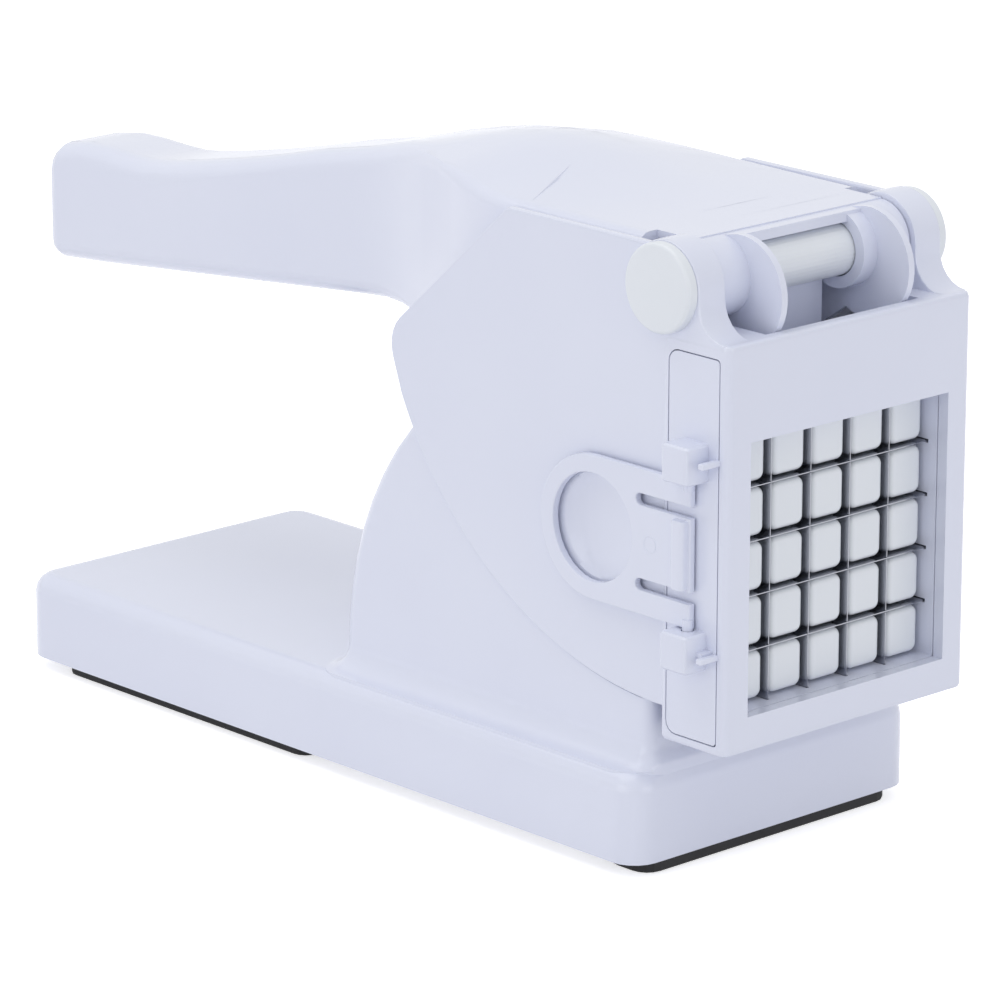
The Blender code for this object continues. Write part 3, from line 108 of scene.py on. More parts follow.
def tint_by(tree, shader, pattern, first, second):
    """Base colour: between two sample cards, as the pattern goes from 0 to 1."""
    tint = add(tree, "Mix", {"data_type": "RGBA"}, _0=pattern, _6=linear(first), _7=linear(second))
    tree.links.new(tint.outputs[2], shader.inputs["Base Color"])


def gloss_by(tree, shader, pattern, low, high):
    """Roughness: between two values, as the pattern goes from 0 to 1."""
    gloss = add(tree, "MapRange", None, Value=pattern, To_Min=low, To_Max=high)
    tree.links.new(gloss.outputs["Result"], shader.inputs["Roughness"])


def bump_by(tree, shader, pattern, lift_mm):
    """Relief: the pattern raises the surface by up to lift_mm."""
    lift = add(tree, "Bump", None, Height=pattern, Distance=lift_mm * MM, Strength=1.0)
    tree.links.new(lift.outputs["Normal"], shader.inputs["Normal"])


print("white card", [round(c, 3) for c in linear("#ffffff")])

# %% [markdown]
# ## Glossy moulded ABS
# The body, the lever and the base are ABS, an amorphous plastic that copies a polished mould
# exactly. It gives the eye a soft diffuse white with a faint blue cast, a clear gloss coat of
# reflections with an IOR near 1.53, and a very slight waviness that moulders call orange peel.
# A broad noise, about 45 mm across, stands for the uneven shade of thick and thin walls. A fine
# one, 1.4 mm across, lifts the surface by a few thousandths of a millimetre.

# %% Finish: moulded ABS

PLASTIC_IOR = 1.53


def moulded_plastic(name, pale, deep, gloss, cloud_mm, peel_mm, peel_lift_mm):
    """A moulded plastic: broad noise mixes two tints and varies the gloss, fine noise lifts."""
    material, tree, shader, place = finish_tree(name, IOR=PLASTIC_IOR, Specular_IOR_Level=0.5)
    cloud = add(tree, "TexNoise", None, Vector=place, Scale=1 / (cloud_mm * MM), Detail=2.0,
                Roughness=0.45)
    tint_by(tree, shader, cloud.outputs["Fac"], pale, deep)
    gloss_by(tree, shader, cloud.outputs["Fac"], gloss * 0.85, gloss * 1.2)
    peel = add(tree, "TexNoise", None, Vector=place, Scale=1 / (peel_mm * MM), Detail=1.0)
    bump_by(tree, shader, peel.outputs["Fac"], peel_lift_mm)
    return material


gloss_abs = moulded_plastic("gloss_white_moulded_abs", "#e3e7f6", "#dde1f2", gloss=0.20,
                            cloud_mm=45, peel_mm=1.4, peel_lift_mm=0.0022)
print("made", gloss_abs.name)

# %% [markdown]
# ## Satin nylon
# The ring, the blade holder, the posts, the shaft and its caps are nylon. Food contact parts are
# often left in the natural colour, which is whiter and a touch greener than the tinted ABS. The
# mould is finer than a mirror but not polished, so reflections are wider and the grain finer.

# %% Finish: satin nylon

satin_nylon = moulded_plastic("satin_natural_nylon", "#e9edf3", "#e3e8ef", gloss=0.30,
                              cloud_mm=30, peel_mm=0.6, peel_lift_mm=0.0025)
print("made", satin_nylon.name)

# %% [markdown]
# ## Ground stainless strip
# The blades are cut from stainless strip that was ground along its length. Grinding leaves fine
# scratches in one direction, so a highlight smears across them. The real scratches are about
# 0.02 mm apart, too fine to show here, so they are drawn 0.12 mm apart and 12 mm long.

# %% Finish: ground stainless

SCRATCH_GAP_MM, SCRATCH_LONG_MM, SCRATCH_DEEP_MM = 0.12, 12, 0.004


def ground_steel(name, stretch):
    """Metal with long fine scratches: noise squeezed across the strip, stretched along it."""
    material, tree, shader, place = finish_tree(name, Metallic=1.0, Base_Color=linear("#a9abb2"))
    aim = add(tree, "Mapping", None, Vector=place, Scale=stretch)
    scratch = add(tree, "TexNoise", None, Vector=aim.outputs["Vector"], Scale=1.0, Detail=3.0)
    gloss_by(tree, shader, scratch.outputs["Fac"], 0.10, 0.26)
    bump_by(tree, shader, scratch.outputs["Fac"], SCRATCH_DEEP_MM)
    return material


across_strip, along_strip = 1 / (SCRATCH_GAP_MM * MM), 1 / (SCRATCH_LONG_MM * MM)
upright_steel = ground_steel("ground_stainless_upright", (across_strip, across_strip, along_strip))
level_steel = ground_steel("ground_stainless_level", (across_strip, along_strip, across_strip))
print("made", upright_steel.name, "and", level_steel.name)

# %% [markdown]
# ## Zinc plate
# The screws are steel with bright zinc plate. Under a shop lamp zinc shows small grains of
# slightly different grey. A cell pattern 0.5 mm wide gives each grain its own tint and gloss.

# %% Finish: zinc plate

GRAIN_MM = 0.5
zinc_plate, tree, shader, place = finish_tree("bright_zinc_plate", Metallic=1.0)
grain = add(tree, "TexVoronoi", None, Vector=place, Scale=1 / (GRAIN_MM * MM))
tint_by(tree, shader, grain.outputs["Color"], "#b9bcbf", "#d3d6da")
gloss_by(tree, shader, grain.outputs["Distance"], 0.22, 0.38)
print("made", zinc_plate.name)

# %% [markdown]
# ## Black rubber
# The pads are a soft black rubber. It is not quite black: carbon-filled rubber reflects about one
# percent, and handling dulls it in patches. A grain of 0.35 mm breaks up the little shine it has.

# %% Finish: rubber

PATCH_MM, GRIT_MM, GRIT_LIFT_MM = 9, 0.35, 0.03
soft_rubber, tree, shader, place = finish_tree("soft_black_rubber", IOR=1.50)
patch = add(tree, "TexNoise", None, Vector=place, Scale=1 / (PATCH_MM * MM), Detail=3.0)
tint_by(tree, shader, patch.outputs["Fac"], "#121214", "#242428")
gloss_by(tree, shader, patch.outputs["Fac"], 0.62, 0.85)
grit = add(tree, "TexNoise", None, Vector=place, Scale=1 / (GRIT_MM * MM), Detail=1.0)
bump_by(tree, shader, grit.outputs["Fac"], GRIT_LIFT_MM)
print("made", soft_rubber.name)

# %% [markdown]
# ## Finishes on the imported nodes
# The record says which slot each node takes its finish from. Each node's object gets the finish
# on its own material slots, and its mesh stays as it is.

# %% Put the finishes on the nodes

FINISH_OF_SLOT = {"white_abs": gloss_abs, "white_nylon": satin_nylon, "zinc_steel": zinc_plate,
                  "black_rubber": soft_rubber, "stainless": upright_steel}
SLOT_OF_NODE = {part["node"]: part["material_slot"] for part in frame["record"]["subparts"]}


def dress(node, material):
    """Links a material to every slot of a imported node's object."""
    item = frame["nodes"][node]
    if not item.material_slots:
        item.data.materials.append(None)
    for slot in item.material_slots:
        slot.link = "OBJECT"
        slot.material = material


for node, slot in SLOT_OF_NODE.items():
    dress(node, level_steel if node.startswith("horizontal") else FINISH_OF_SLOT[slot])
print("dressed", len(SLOT_OF_NODE), "nodes")

# %% [markdown]
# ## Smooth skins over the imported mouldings
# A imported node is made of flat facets. On a real moulding, the light runs round each corner
# without a step. A copy of the node has its doubled points merged and its flat triangles joined.
# Its sharp edges then get a small round, about 0.2 mm, because no mould leaves a knife edge, and
# normals weighted by face size keep the flat walls flat.

# %% Make a smooth skin

BODY_OF_NODE = {node: body for body, nodes in frame["record"]["behaviour"]["bodies"].items()
                for node in nodes}
DOUBLES_MM, FLAT_DEGREES, CREASE_DEGREES = 0.002, 0.5, 34.0


def settle(item, nodes):
    """Rides a finished piece on the body of the node it stands for, and hides the nodes it stands
    for.
    """
    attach(item, BODY_OF_NODE[nodes[0]])
    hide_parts(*nodes)
    return item


def smooth_skin(node, material, edge_mm=0.2, reshape=None):
    """A copy of a node: doubles merged, flat triangles joined, edges over the crease rounded."""
    shape = bmesh.new()
    shape.from_mesh(frame["nodes"][node].data)
    bmesh.ops.remove_doubles(shape, verts=shape.verts, dist=DOUBLES_MM * MM)
    if reshape:
        reshape(shape)
    bmesh.ops.dissolve_limit(shape, angle_limit=math.radians(FLAT_DEGREES), verts=shape.verts,
                             edges=shape.edges)
    mesh = bpy.data.meshes.new(node + "_skin")
    shape.to_mesh(mesh)
    shape.free()
    mesh.materials.clear()
    mesh.materials.append(material)
    mesh.shade_smooth()
    mesh.set_sharp_from_angle(angle=math.radians(CREASE_DEGREES))
    item = bpy.data.objects.new(node + "_skin", mesh)
    bpy.context.scene.collection.objects.link(item)
    bevel = item.modifiers.new("round", "BEVEL")
    bevel.width = edge_mm * MM
    bevel.segments = 2
    bevel.limit_method = "ANGLE"
    bevel.angle_limit = math.radians(CREASE_DEGREES)
    bevel.harden_normals = False
    weigh = item.modifiers.new("weigh", "WEIGHTED_NORMAL")
    weigh.keep_sharp = True
    settle(item, [node])
    print(node, "skin:", len(mesh.polygons), "faces")
    return item


smooth_skin("base_shell", gloss_abs)
smooth_skin("cartridge_frame", gloss_abs)
smooth_skin("pull_ring", gloss_abs, edge_mm=0.3)
smooth_skin("blade_retainer", gloss_abs)
smooth_skin("base_plate", gloss_abs)

# %% [markdown]
# The lever's two side webs join the cover from below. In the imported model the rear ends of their
# tops reach up to 1 mm through the crown. The real cover is smooth there, so each such point is
# brought down to the line between a point just inside the web and one just outside it, and then
# taken out, so that only the crown's own points are left.

# %% The lever's skin

WEB_INSIDE, WEB_OUTSIDE = 18.2 * MM, 22.4 * MM
CROWN_LEAST_Z, HUB_REAR_X, NEAR_CROWN = 147.5 * MM, -4 * MM, 0.12 * MM
RAY_START_Z = 200 * MM


def crown_height(crown, x, y):
    """Height where a ray straight down meets the crown, or None."""
    place = crown.ray_cast((x, y, RAY_START_Z), (0, 0, -1))[0]
    return None if place is None else place.z


def level_web_tops(shape):
    """Takes off the web's points that lie on or over the crown's line across the web."""
    crown = BVHTree.FromBMesh(shape)
    on_crown = []
    for point in shape.verts:
        x, y, z = point.co
        if not (WEB_INSIDE < abs(y) < WEB_OUTSIDE and z > CROWN_LEAST_Z and x < HUB_REAR_X):
            continue
        inner = crown_height(crown, x, math.copysign(WEB_INSIDE, y))
        outer = crown_height(crown, x, math.copysign(WEB_OUTSIDE, y))
        if inner is None or outer is None:
            continue
        flat = inner + (outer - inner) * (abs(y) - WEB_INSIDE) / (WEB_OUTSIDE - WEB_INSIDE)
        if z > flat - NEAR_CROWN:
            point.co.z = flat
            on_crown.append(point)
    bmesh.ops.dissolve_verts(shape, verts=on_crown)
    print("took", len(on_crown), "points of the webs off the crown")


smooth_skin("lever_body", gloss_abs, reshape=level_web_tops)

# %% [markdown]
# Behind the ring's hole the cheek has a finger scoop. It falls quickly from its rear rim to a
# line at 30 percent of its width and rises gently to the front rim, so a fingertip hooks the
# ring from behind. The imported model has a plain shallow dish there, and its points are moved to
# the scoop: the way to the low line, as a quarter of a sine, times the circle's width.

# %% The housing's skin

RING_Z = 79 * MM
SCOOP_X, SCOOP_RADIUS, SCOOP_DEPTH, SCOOP_LOW = -10.5 * MM, 12.5 * MM, 1.9 * MM, 0.3
DISH_REACH, RIM_MARGIN, RIM_SHARE = 1.7 * MM, 0.05 * MM, 0.985


def finger_scoop(shape):
    """Moves the dish's points.

    Depth = deepest * sin(quarter turn * way to the low line) * sqrt(1 - height ** 2).
    """
    face_y = min(point.co.y for point in shape.verts
                 if abs(point.co.z - RING_Z) < SCOOP_RADIUS and point.co.x < SCOOP_X)

    def inside(point):
        away = math.hypot(point.co.x - SCOOP_X, point.co.z - RING_Z)
        return away < SCOOP_RADIUS + RIM_MARGIN and point.co.y < face_y + DISH_REACH

    edges = [edge for edge in shape.edges if inside(edge.verts[0]) and inside(edge.verts[1])]
    bmesh.ops.subdivide_edges(shape, edges=edges, cuts=2, use_grid_fill=True)
    moved = 0
    for point in shape.verts:
        side = (point.co.x - SCOOP_X) / SCOOP_RADIUS
        height = (point.co.z - RING_Z) / SCOOP_RADIUS
        if not inside(point) or math.hypot(side, height) > RIM_SHARE:
            continue
        chord = math.sqrt(max(1 - height ** 2, 0.0))
        way = (side / max(chord, 0.01) + 1) / 2
        fall = way / SCOOP_LOW if way < SCOOP_LOW else (1 - way) / (1 - SCOOP_LOW)
        quarter = min(max(fall, 0.0), 1.0) * math.pi / 2
        point.co.y = face_y + SCOOP_DEPTH * math.sin(quarter) * chord
        moved += 1
    print("scoop on the face at", round(face_y / MM, 2), "mm,", moved, "points")


smooth_skin("chamber_housing", gloss_abs, reshape=finger_scoop)

# %% [markdown]
# ## Posts with rounded ends
# The pusher is one moulding: a plate with 25 square posts. Each post ends in a broad round, so
# that potato slides off it. One post is a surface of two parameters: the first runs round a
# rectangle with round corners, the second along the post. Over the last 1.4 mm the rectangle
# shrinks as a quarter circle does. The same surface is then shifted to each cell.

# %% Rounded bars as surfaces


def rounded_ring(half_u, half_v, corner, count):
    """A rectangle with round corners: a circle's points moved out by (half - corner) a side."""
    turn = (np.arange(count) + 0.5) * 2 * np.pi / count
    u = corner * np.cos(turn) + np.sign(np.cos(turn)) * (half_u - corner)
    v = corner * np.sin(turn) + np.sign(np.sin(turn)) * (half_v - corner)
    return u, v


def stations(low, high, low_round, high_round, steps):
    """Places along a bar, and how much its section shrinks there.

    Over a rounded end, place = radius * (1 - cos) and shrink = radius * (1 - sin).
    """
    angle = np.linspace(0, np.pi / 2, steps)
    back = angle[::-1]
    places = np.concatenate([low + low_round * (1 - np.cos(angle)),
                             high - high_round * (1 - np.cos(back))])
    shrink = np.concatenate([low_round * (1 - np.sin(angle)), high_round * (1 - np.sin(back))])
    return places, shrink


def bar_surface(half_u, half_v, corner, low, high, low_round, high_round, count=40, steps=7):
    """Arrays (along, u, v) of a bar whose ends close in three last rings down to the middle."""
    places, shrink = stations(low, high, low_round, high_round, steps)
    rings = [rounded_ring(half_u - s, half_v - s, max(corner - s, corner / 4), count)
             for s in shrink]
    u = np.array([ring[0] for ring in rings])
    v = np.array([ring[1] for ring in rings])
    close = np.array([0.0, 0.5, 0.9])[:, None]
    u = np.concatenate([u[0] * close, u, u[-1] * close[::-1]])
    v = np.concatenate([v[0] * close, v, v[-1] * close[::-1]])
    along = np.concatenate([np.full(3, places[0]), places, np.full(3, places[-1])])
    return np.repeat(along[:, None], u.shape[1], 1), u, v


def surface_piece(name, arrays, material, shifts=((0.0, 0.0, 0.0),), crease=40.0):
    """One mesh of the same closed surface at every shift; points that meet are merged."""
    x, y, z = arrays
    rows, columns = x.shape
    index = np.arange(rows * columns).reshape(rows, columns)
    here, down = index[:-1], index[1:]
    faces = np.stack([here, np.roll(here, -1, 1), np.roll(down, -1, 1), down], -1).reshape(-1, 4)
    points = np.stack([x, y, z], -1).reshape(-1, 3)
    shifts = np.array(shifts, float)
    everywhere = (points[None] + shifts[:, None]).reshape(-1, 3)
    step = (np.arange(len(shifts)) * len(points))[:, None, None]
    mesh = bpy.data.meshes.new(name)
    mesh.from_pydata(everywhere.tolist(), [], (faces[None] + step).reshape(-1, 4).tolist())
    shape = bmesh.new()
    shape.from_mesh(mesh)
    bmesh.ops.remove_doubles(shape, verts=shape.verts, dist=0.0005 * MM)
    bmesh.ops.recalc_face_normals(shape, faces=shape.faces)
    shape.to_mesh(mesh)
    shape.free()
    mesh.materials.append(material)
    mesh.shade_smooth()
    mesh.set_sharp_from_angle(angle=math.radians(crease))
    item = bpy.data.objects.new(name, mesh)
    bpy.context.scene.collection.objects.link(item)
    print(name, "has", len(mesh.polygons), "faces")
    return item


# %% The pusher block

PITCH, CELLS, GRID_Z = 12.7 * MM, 5, 73.5 * MM
POST_HALF_Y, POST_HALF_Z, POST_CORNER, POST_ROUND = 5.2 * MM, 5.6 * MM, 2.1 * MM, 1.4 * MM
POST_SUNK, POST_REAR_ROUND = 0.6 * MM, 0.1 * MM
PLATE_THICK, PLATE_ROUND = 5.0 * MM, 0.8 * MM

pusher_low, pusher_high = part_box("pusher_block")
plate_front = pusher_low.x + PLATE_THICK
cells = (np.arange(CELLS) - (CELLS - 1) / 2) * PITCH
post_places = [(0.0, y, GRID_Z + z) for y in cells for z in cells]
post = bar_surface(POST_HALF_Y, POST_HALF_Z, POST_CORNER, plate_front - POST_SUNK, pusher_high.x,
                   POST_REAR_ROUND, POST_ROUND)
posts = surface_piece("pusher_posts", post, satin_nylon, post_places)
half = (pusher_high.y - pusher_low.y) / 2
slab = bar_surface(half, half, POST_CORNER, pusher_low.x, plate_front, PLATE_ROUND, PLATE_ROUND)
plate = surface_piece("pusher_plate", slab, satin_nylon, [(0.0, 0.0, GRID_Z)])
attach(posts, "lever")
settle(plate, ["pusher_block"])

# %% [markdown]
# ## Blades with ground edges
# A blade is a strip 0.5 mm thick. Its rear edge, which meets the potato, is ground to a knife
# edge. Its front edge, which faces the viewer, is broken by two small chamfers that leave a thin
# bright line. The section is carried along the strip, and where two strips cross, each gives way
# over half its depth: the upright ones at the front, the level ones at the rear.

# %% Blades

BLADE_HALF, KNIFE_MM, KNIFE_SHARE, CHAMFER_MM, CHAMFER_SHARE = 0.25 * MM, 1.5, 0.04, 0.55, 0.42
LAP_EDGES, LAP_HALF = np.array([-0.27, -0.26, 0.26, 0.27]) * MM, 0.265 * MM


def blade_surface(low, high, run_low, run_high, crossings, front_notch):
    """Arrays (depth, thickness, run) of a strip: eight points round, clipped at each crossing."""
    depth = high - low
    deep = depth / MM
    half_x = np.array([0.0, KNIFE_MM, deep - CHAMFER_MM, deep])
    half_t = np.array([KNIFE_SHARE, 1.0, 1.0, CHAMFER_SHARE])
    section_x = np.concatenate([half_x, half_x[::-1]]) * MM + low
    section_t = np.concatenate([half_t, -half_t[::-1]]) * BLADE_HALF
    laps = (crossings[:, None] + LAP_EDGES).ravel()
    run = np.sort(np.concatenate([[run_low, run_low, run_high, run_high], laps]))
    inside = np.abs(run[:, None] - crossings).min(1) < LAP_HALF
    middle = low + depth / 2
    x = np.repeat(section_x[None], len(run), 0)
    if front_notch:
        x = np.minimum(x, np.where(inside, middle, high)[:, None])
    else:
        x = np.maximum(x, np.where(inside, middle, low)[:, None])
    t = np.repeat(section_t[None], len(run), 0)
    for end in (0, -1):
        x[end] = middle
        t[end] = 0.0
    return x, t, np.repeat(run[:, None], len(section_x), 1)


cuts = (np.arange(CELLS - 1) - (CELLS - 2) / 2) * PITCH
for number in range(1, CELLS):
    name = "vertical_blade_%d" % number
    low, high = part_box(name)
    x, t, run = blade_surface(low.x, high.x, low.z, high.z, cuts + GRID_Z, True)
    arrays = (x, t + (low.y + high.y) / 2, run)
    settle(surface_piece(name + "_strip", arrays, upright_steel), [name])
    name = "horizontal_blade_%d" % number
    low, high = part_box(name)
    x, t, run = blade_surface(low.x, high.x, low.y, high.y, cuts, False)
    arrays = (x, run, t + (low.z + high.z) / 2)
    settle(surface_piece(name + "_strip", arrays, level_steel), [name])

# %% [markdown]
# ## Caps and shaft
# Turned shapes are a profile swept round an axis: radius and height along one parameter, angle
# along the other. The caps are shallow domes with a soft rim, pressed into the hollow shaft.

# %% Turned pieces

CAP_THICK, CAP_ROUND, CAP_DOME, CAP_PLUG_LESS = 2.8 * MM, 0.9 * MM, 0.25 * MM, 2.9 * MM


def turned_surface(radius, height, count=64):
    """Arrays (height, side, up) of a profile swept round: side = radius cos, up = radius sin."""
    turn = np.arange(count) * 2 * np.pi / count
    radius, height = np.array(radius), np.array(height)
    return (np.repeat(height[:, None], count, 1), radius[:, None] * np.cos(turn),
            radius[:, None] * np.sin(turn))


shaft_low, shaft_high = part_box("pivot_shaft")
pivot_x = (shaft_low.x + shaft_high.x) / 2
pivot_z = (shaft_low.z + shaft_high.z) / 2
plug = (shaft_high.z - shaft_low.z) / 2 - CAP_PLUG_LESS
for side, name in ((-1, "left_cap"), (1, "right_cap")):
    low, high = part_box(name)
    outer, inner = (high.y, low.y) if side > 0 else (-low.y, -high.y)
    radius = (high.z - low.z) / 2
    face = outer - CAP_THICK
    rim = np.linspace(0, np.pi / 2, 9)
    dome = np.array([0.0, 0.35, 0.7]) * radius
    profile_r = np.concatenate([dome, radius - CAP_ROUND + CAP_ROUND * np.sin(rim),
                                [radius, plug, plug, 0.0]])
    profile_h = np.concatenate([outer - CAP_DOME * (dome / radius) ** 2,
                                outer - CAP_DOME - CAP_ROUND * (1 - np.cos(rim)),
                                [face, face, inner, inner]])
    h, a, b = turned_surface(profile_r, profile_h)
    disc = surface_piece(name + "_disc", (pivot_x + a, side * h, pivot_z + b), satin_nylon)
    settle(disc, [name])

# %% [markdown]
# ## Screws with a cross recess
# The screws are small pan heads with a cross recess. The head is a dome over a polar grid, and
# the recess is taken out of it where a point lies within the arms of a cross: the depth falls off
# towards the arm's end, as a pointed driver leaves it.

# %% Screws

HEAD_RISE, SHANK_RADIUS = 1.4 * MM, 1.1 * MM
DOME_SHARE, HEAD_RIM_SHARE = 0.45, 0.7
ARM_SHARE, ARM_REACH, RECESS_SHARE, RECESS_POWER = 0.16, 0.72, 0.9, 0.6


def screw_surface(head, rise, shank, length, count=48):
    """Arrays (depth, side, up) of a screw: a dome less a cross-shaped recess, a wall, a shank."""
    reach = np.linspace(0.0, 1.0, 13)[:, None]
    turn = np.arange(count) * 2 * np.pi / count
    side, up = reach * np.cos(turn) * head, reach * np.sin(turn) * head
    dome = rise * DOME_SHARE * reach ** 2 + 0 * side
    arm = np.minimum(np.abs(side), np.abs(up)) < head * ARM_SHARE
    fall = np.clip(1 - reach / ARM_REACH, 0, 1)
    depth = dome + np.where(arm, rise * RECESS_SHARE * fall ** RECESS_POWER, 0.0)
    radius = np.array([1.0, 1.0, shank / head, shank / head, 0.0])[:, None] * head
    place = np.array([rise * HEAD_RIM_SHARE, rise, rise, length, length + shank])
    return (np.concatenate([depth, np.repeat(place[:, None], count, 1)]),
            np.concatenate([side, radius * np.cos(turn)]),
            np.concatenate([up, radius * np.sin(turn)]))


for kind, along in (("base", 2), ("pusher", 0), ("retainer", 0)):
    for number in range(1, 5):
        name = "%s_screw_%d" % (kind, number)
        low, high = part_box(name)
        middle = (low + high) / 2
        head = (high.y - low.y) / 2
        length = high[along] - low[along] - SHANK_RADIUS
        d, a, b = screw_surface(head, HEAD_RISE, SHANK_RADIUS, length)
        if along == 2:
            arrays = (middle.x + a, middle.y + b, low.z + d)
        else:
            arrays = (low.x + d, middle.y + a, middle.z + b)
        cross = surface_piece(name + "_cross", arrays, zinc_plate, crease=30.0)
        settle(cross, [name])

# %% [markdown]
# ## Small marks of moulding
# An ejector pin leaves a faint circle on the ring's middle tab. Two short ribs stand on the ring's
# hinge blocks, one on each.

# %% Ejector mark and ribs

MARK_RADIUS, MARK_THICK, MARK_X, TAB_DEPTH = 1.9 * MM, 0.09 * MM, 8.3 * MM, 2.0 * MM
RIB_HALF_X, RIB_HALF_Z, RIB_CORNER, RIB_ROUND = 0.9 * MM, 0.7 * MM, 0.4 * MM, 0.3 * MM
RIB_OUTER_INSET, RIB_INNER_Y, RIB_SUNK = 1.2 * MM, -38.6 * MM, 0.2 * MM
RIB_HEIGHTS_MM = (56.6, 101.4)


def round_bead(radius, thick, count=64, around=8):
    """Arrays (out, side, up) of a thin hoop: a circle of radius thick carried round a circle."""
    turn = np.arange(count + 1) * 2 * np.pi / count
    roll = np.arange(around) * 2 * np.pi / around
    reach = radius + thick * np.cos(roll)[None]
    return (np.repeat(thick * np.sin(roll)[None], count + 1, 0), reach * np.cos(turn)[:, None],
            reach * np.sin(turn)[:, None])


ring_low, ring_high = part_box("pull_ring")
tab_face = ring_low.y + TAB_DEPTH
o, a, b = round_bead(MARK_RADIUS, MARK_THICK)
mark = surface_piece("ejector_mark", (MARK_X + a, tab_face + o, RING_Z + b), gloss_abs)
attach(mark, "ring")

cartridge_low, cartridge_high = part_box("cartridge_frame")
for number, height in enumerate(RIB_HEIGHTS_MM):
    y, u, v = bar_surface(RIB_HALF_X, RIB_HALF_Z, RIB_CORNER, cartridge_low.y + RIB_OUTER_INSET,
                          RIB_INNER_Y, RIB_ROUND, RIB_ROUND, count=24, steps=4)
    arrays = (cartridge_high.x - RIB_SUNK + u, y, height * MM + v)
    rib = surface_piece("hinge_rib_%d" % (number + 1), arrays, gloss_abs)
    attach(rib, "base")

# %% [markdown]
# ## Camera, floor and light
# The camera stands where the photographer stood: about 1.3 m away, a little above the machine,
# looking at the blade side and the ring side. The lens is long, so lines that run away from the
# viewer stay almost parallel. Its three axes were fitted to the corners of the front frame, the
# arc about the pivot and the base.

# %% Camera

CAMERA_PLACE = (0.880177, -0.893976, 0.441973)
CAMERA_RIGHT = (0.6791216, 0.7340248, 0.0012188)
CAMERA_DOWN = (0.2047397, -0.1878306, -0.9606255)
CAMERA_AHEAD = (-0.7048940, 0.6526310, -0.2778438)
FRAME_PIXELS = 1000
FOCUS_PIXELS = 5711.567
SENSOR_MM = 36.0

camera_data = bpy.data.cameras.new("camera")
camera_data.sensor_width = SENSOR_MM
camera_data.lens = SENSOR_MM * FOCUS_PIXELS / FRAME_PIXELS
camera_data.clip_start = 0.05
camera_data.clip_end = 20.0
camera = bpy.data.objects.new("camera", camera_data)
bpy.context.scene.collection.objects.link(camera)
axes = np.array([CAMERA_RIGHT, [-c for c in CAMERA_DOWN], [-c for c in CAMERA_AHEAD]]).T
camera.matrix_world = Matrix.Translation(CAMERA_PLACE) @ Matrix(axes.tolist()).to_4x4()
bpy.context.scene.camera = camera
print("lens", round(camera_data.lens, 1), "mm")

# %% [markdown]
# The floor is a large pale sheet. To the camera and to reflections it looks white, and it still
# catches the machine's soft shadow, because only a part of its colour is its own glow. The world
# is a plain white surround, as in a light tent.

# %% Floor and surround

FLOOR_HALF, FLOOR_GLOW, SURROUND_LIGHT = 4.0, 0.62, 0.64


def grid_sheet(name, x, y, z, material):
    """A mesh from three arrays of one shape: vertex (i, j) is (x, y, z)[i, j], a cell is a face."""
    rows, columns = x.shape
    index = np.arange(rows * columns).reshape(rows, columns)
    here, down = index[:-1], index[1:]
    faces = np.stack([here[:, :-1], here[:, 1:], down[:, 1:], down[:, :-1]], -1)
    points = np.stack([x, y, z], -1)
    mesh = bpy.data.meshes.new(name)
    mesh.from_pydata(points.reshape(-1, 3).tolist(), [], faces.reshape(-1, 4).tolist())
    mesh.validate()
    mesh.materials.append(material)
    item = bpy.data.objects.new(name, mesh)
    bpy.context.scene.collection.objects.link(item)
    return item


def camera_or_mirror(tree):
    """The light path node, and 1 for rays from the camera or off a gloss, 0 for all others."""
    way = add(tree, "LightPath")
    seen = add(tree, "Math", {"operation": "MAXIMUM"}, _0=way.outputs["Is Camera Ray"],
               _1=way.outputs["Is Glossy Ray"])
    return way, seen.outputs[0]


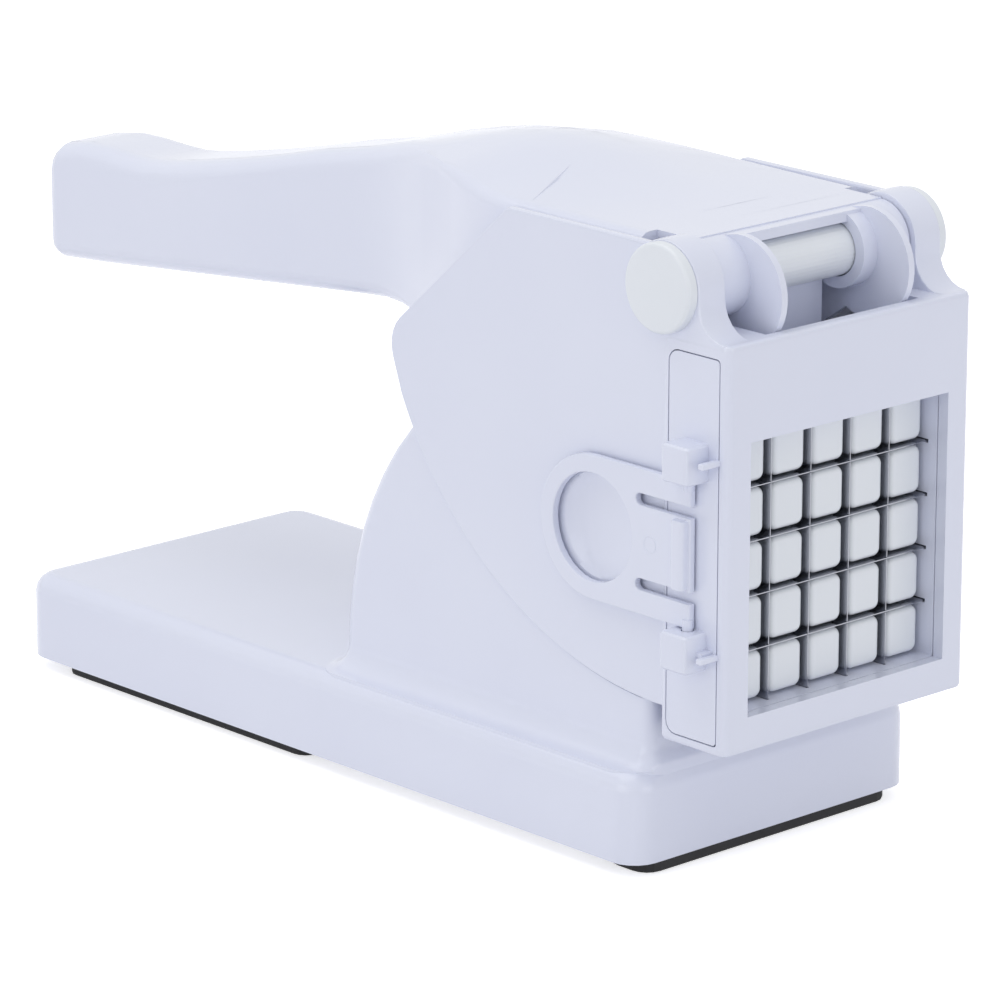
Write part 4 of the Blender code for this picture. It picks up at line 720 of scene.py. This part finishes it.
pale_floor = bpy.data.materials.new("pale_floor_sheet")
pale_floor.use_nodes = True
tree = pale_floor.node_tree
tree.nodes.remove(tree.nodes["Principled BSDF"])
way, seen = camera_or_mirror(tree)
seen = add(tree, "Math", {"operation": "MAXIMUM"}, _0=seen, _1=way.outputs["Is Transmission Ray"])
paper = add(tree, "BsdfDiffuse", None, Color=linear("#e9e9ec"))
glow = add(tree, "Emission", None, Color=linear("#ffffff"), Strength=FLOOR_GLOW)
both = add(tree, "AddShader", None, _0=paper.outputs[0], _1=glow.outputs[0])
mixed = add(tree, "MixShader", None, _0=seen.outputs[0], _1=paper.outputs[0], _2=both.outputs[0])
tree.links.new(mixed.outputs[0], tree.nodes["Material Output"].inputs["Surface"])
line = np.linspace(-FLOOR_HALF, FLOOR_HALF, 5)
across, along = np.meshgrid(line, line)
floor = grid_sheet("floor_sheet", across, along, np.zeros_like(across), pale_floor)

world = bpy.data.worlds.new("white_surround")
world.use_nodes = True
tree = world.node_tree
surround = tree.nodes["Background"]
surround.inputs["Color"].default_value = linear("#ffffff")
way, seen = camera_or_mirror(tree)
power = add(tree, "MapRange", None, Value=seen, To_Min=SURROUND_LIGHT, To_Max=1.0)
tree.links.new(power.outputs["Result"], surround.inputs["Strength"])
bpy.context.scene.world = world
bpy.context.scene.view_settings.view_transform = "Standard"
print("floor reaches", FLOOR_HALF, "m each way")

# %% [markdown]
# A wide lamp overhead gives the top its extra brightness, and two weaker ones, before the blade
# side and before the ring side, light both walls that the camera sees about alike.

# %% Lamps

AIM = (-0.1, 0.0, 0.07)
LAMPS = (("overhead_softbox", (-0.35, -0.25, 1.25), 1.1, 4.6),
         ("front_softbox", (1.25, 0.15, 0.25), 0.9, 3.0),
         ("side_softbox", (-0.1, -1.35, 0.25), 1.0, 3.2))


def soft_lamp(name, place, aim, size, watts):
    """A square area lamp at place, turned so that its -Z looks at aim."""
    data = bpy.data.lights.new(name, "AREA")
    data.size = size
    data.energy = watts
    item = bpy.data.objects.new(name, data)
    bpy.context.scene.collection.objects.link(item)
    back = np.array(place) - np.array(aim)
    back = back / np.linalg.norm(back)
    side = np.cross((0.0, 0.02, 1.0), back)
    side = side / np.linalg.norm(side)
    turn = np.array([side, np.cross(back, side), back]).T
    item.matrix_world = Matrix.Translation(place) @ Matrix(turn.tolist()).to_4x4()
    return item


for name, place, size, watts in LAMPS:
    soft_lamp(name, place, AIM, size, watts)
print(len(LAMPS), "lamps")
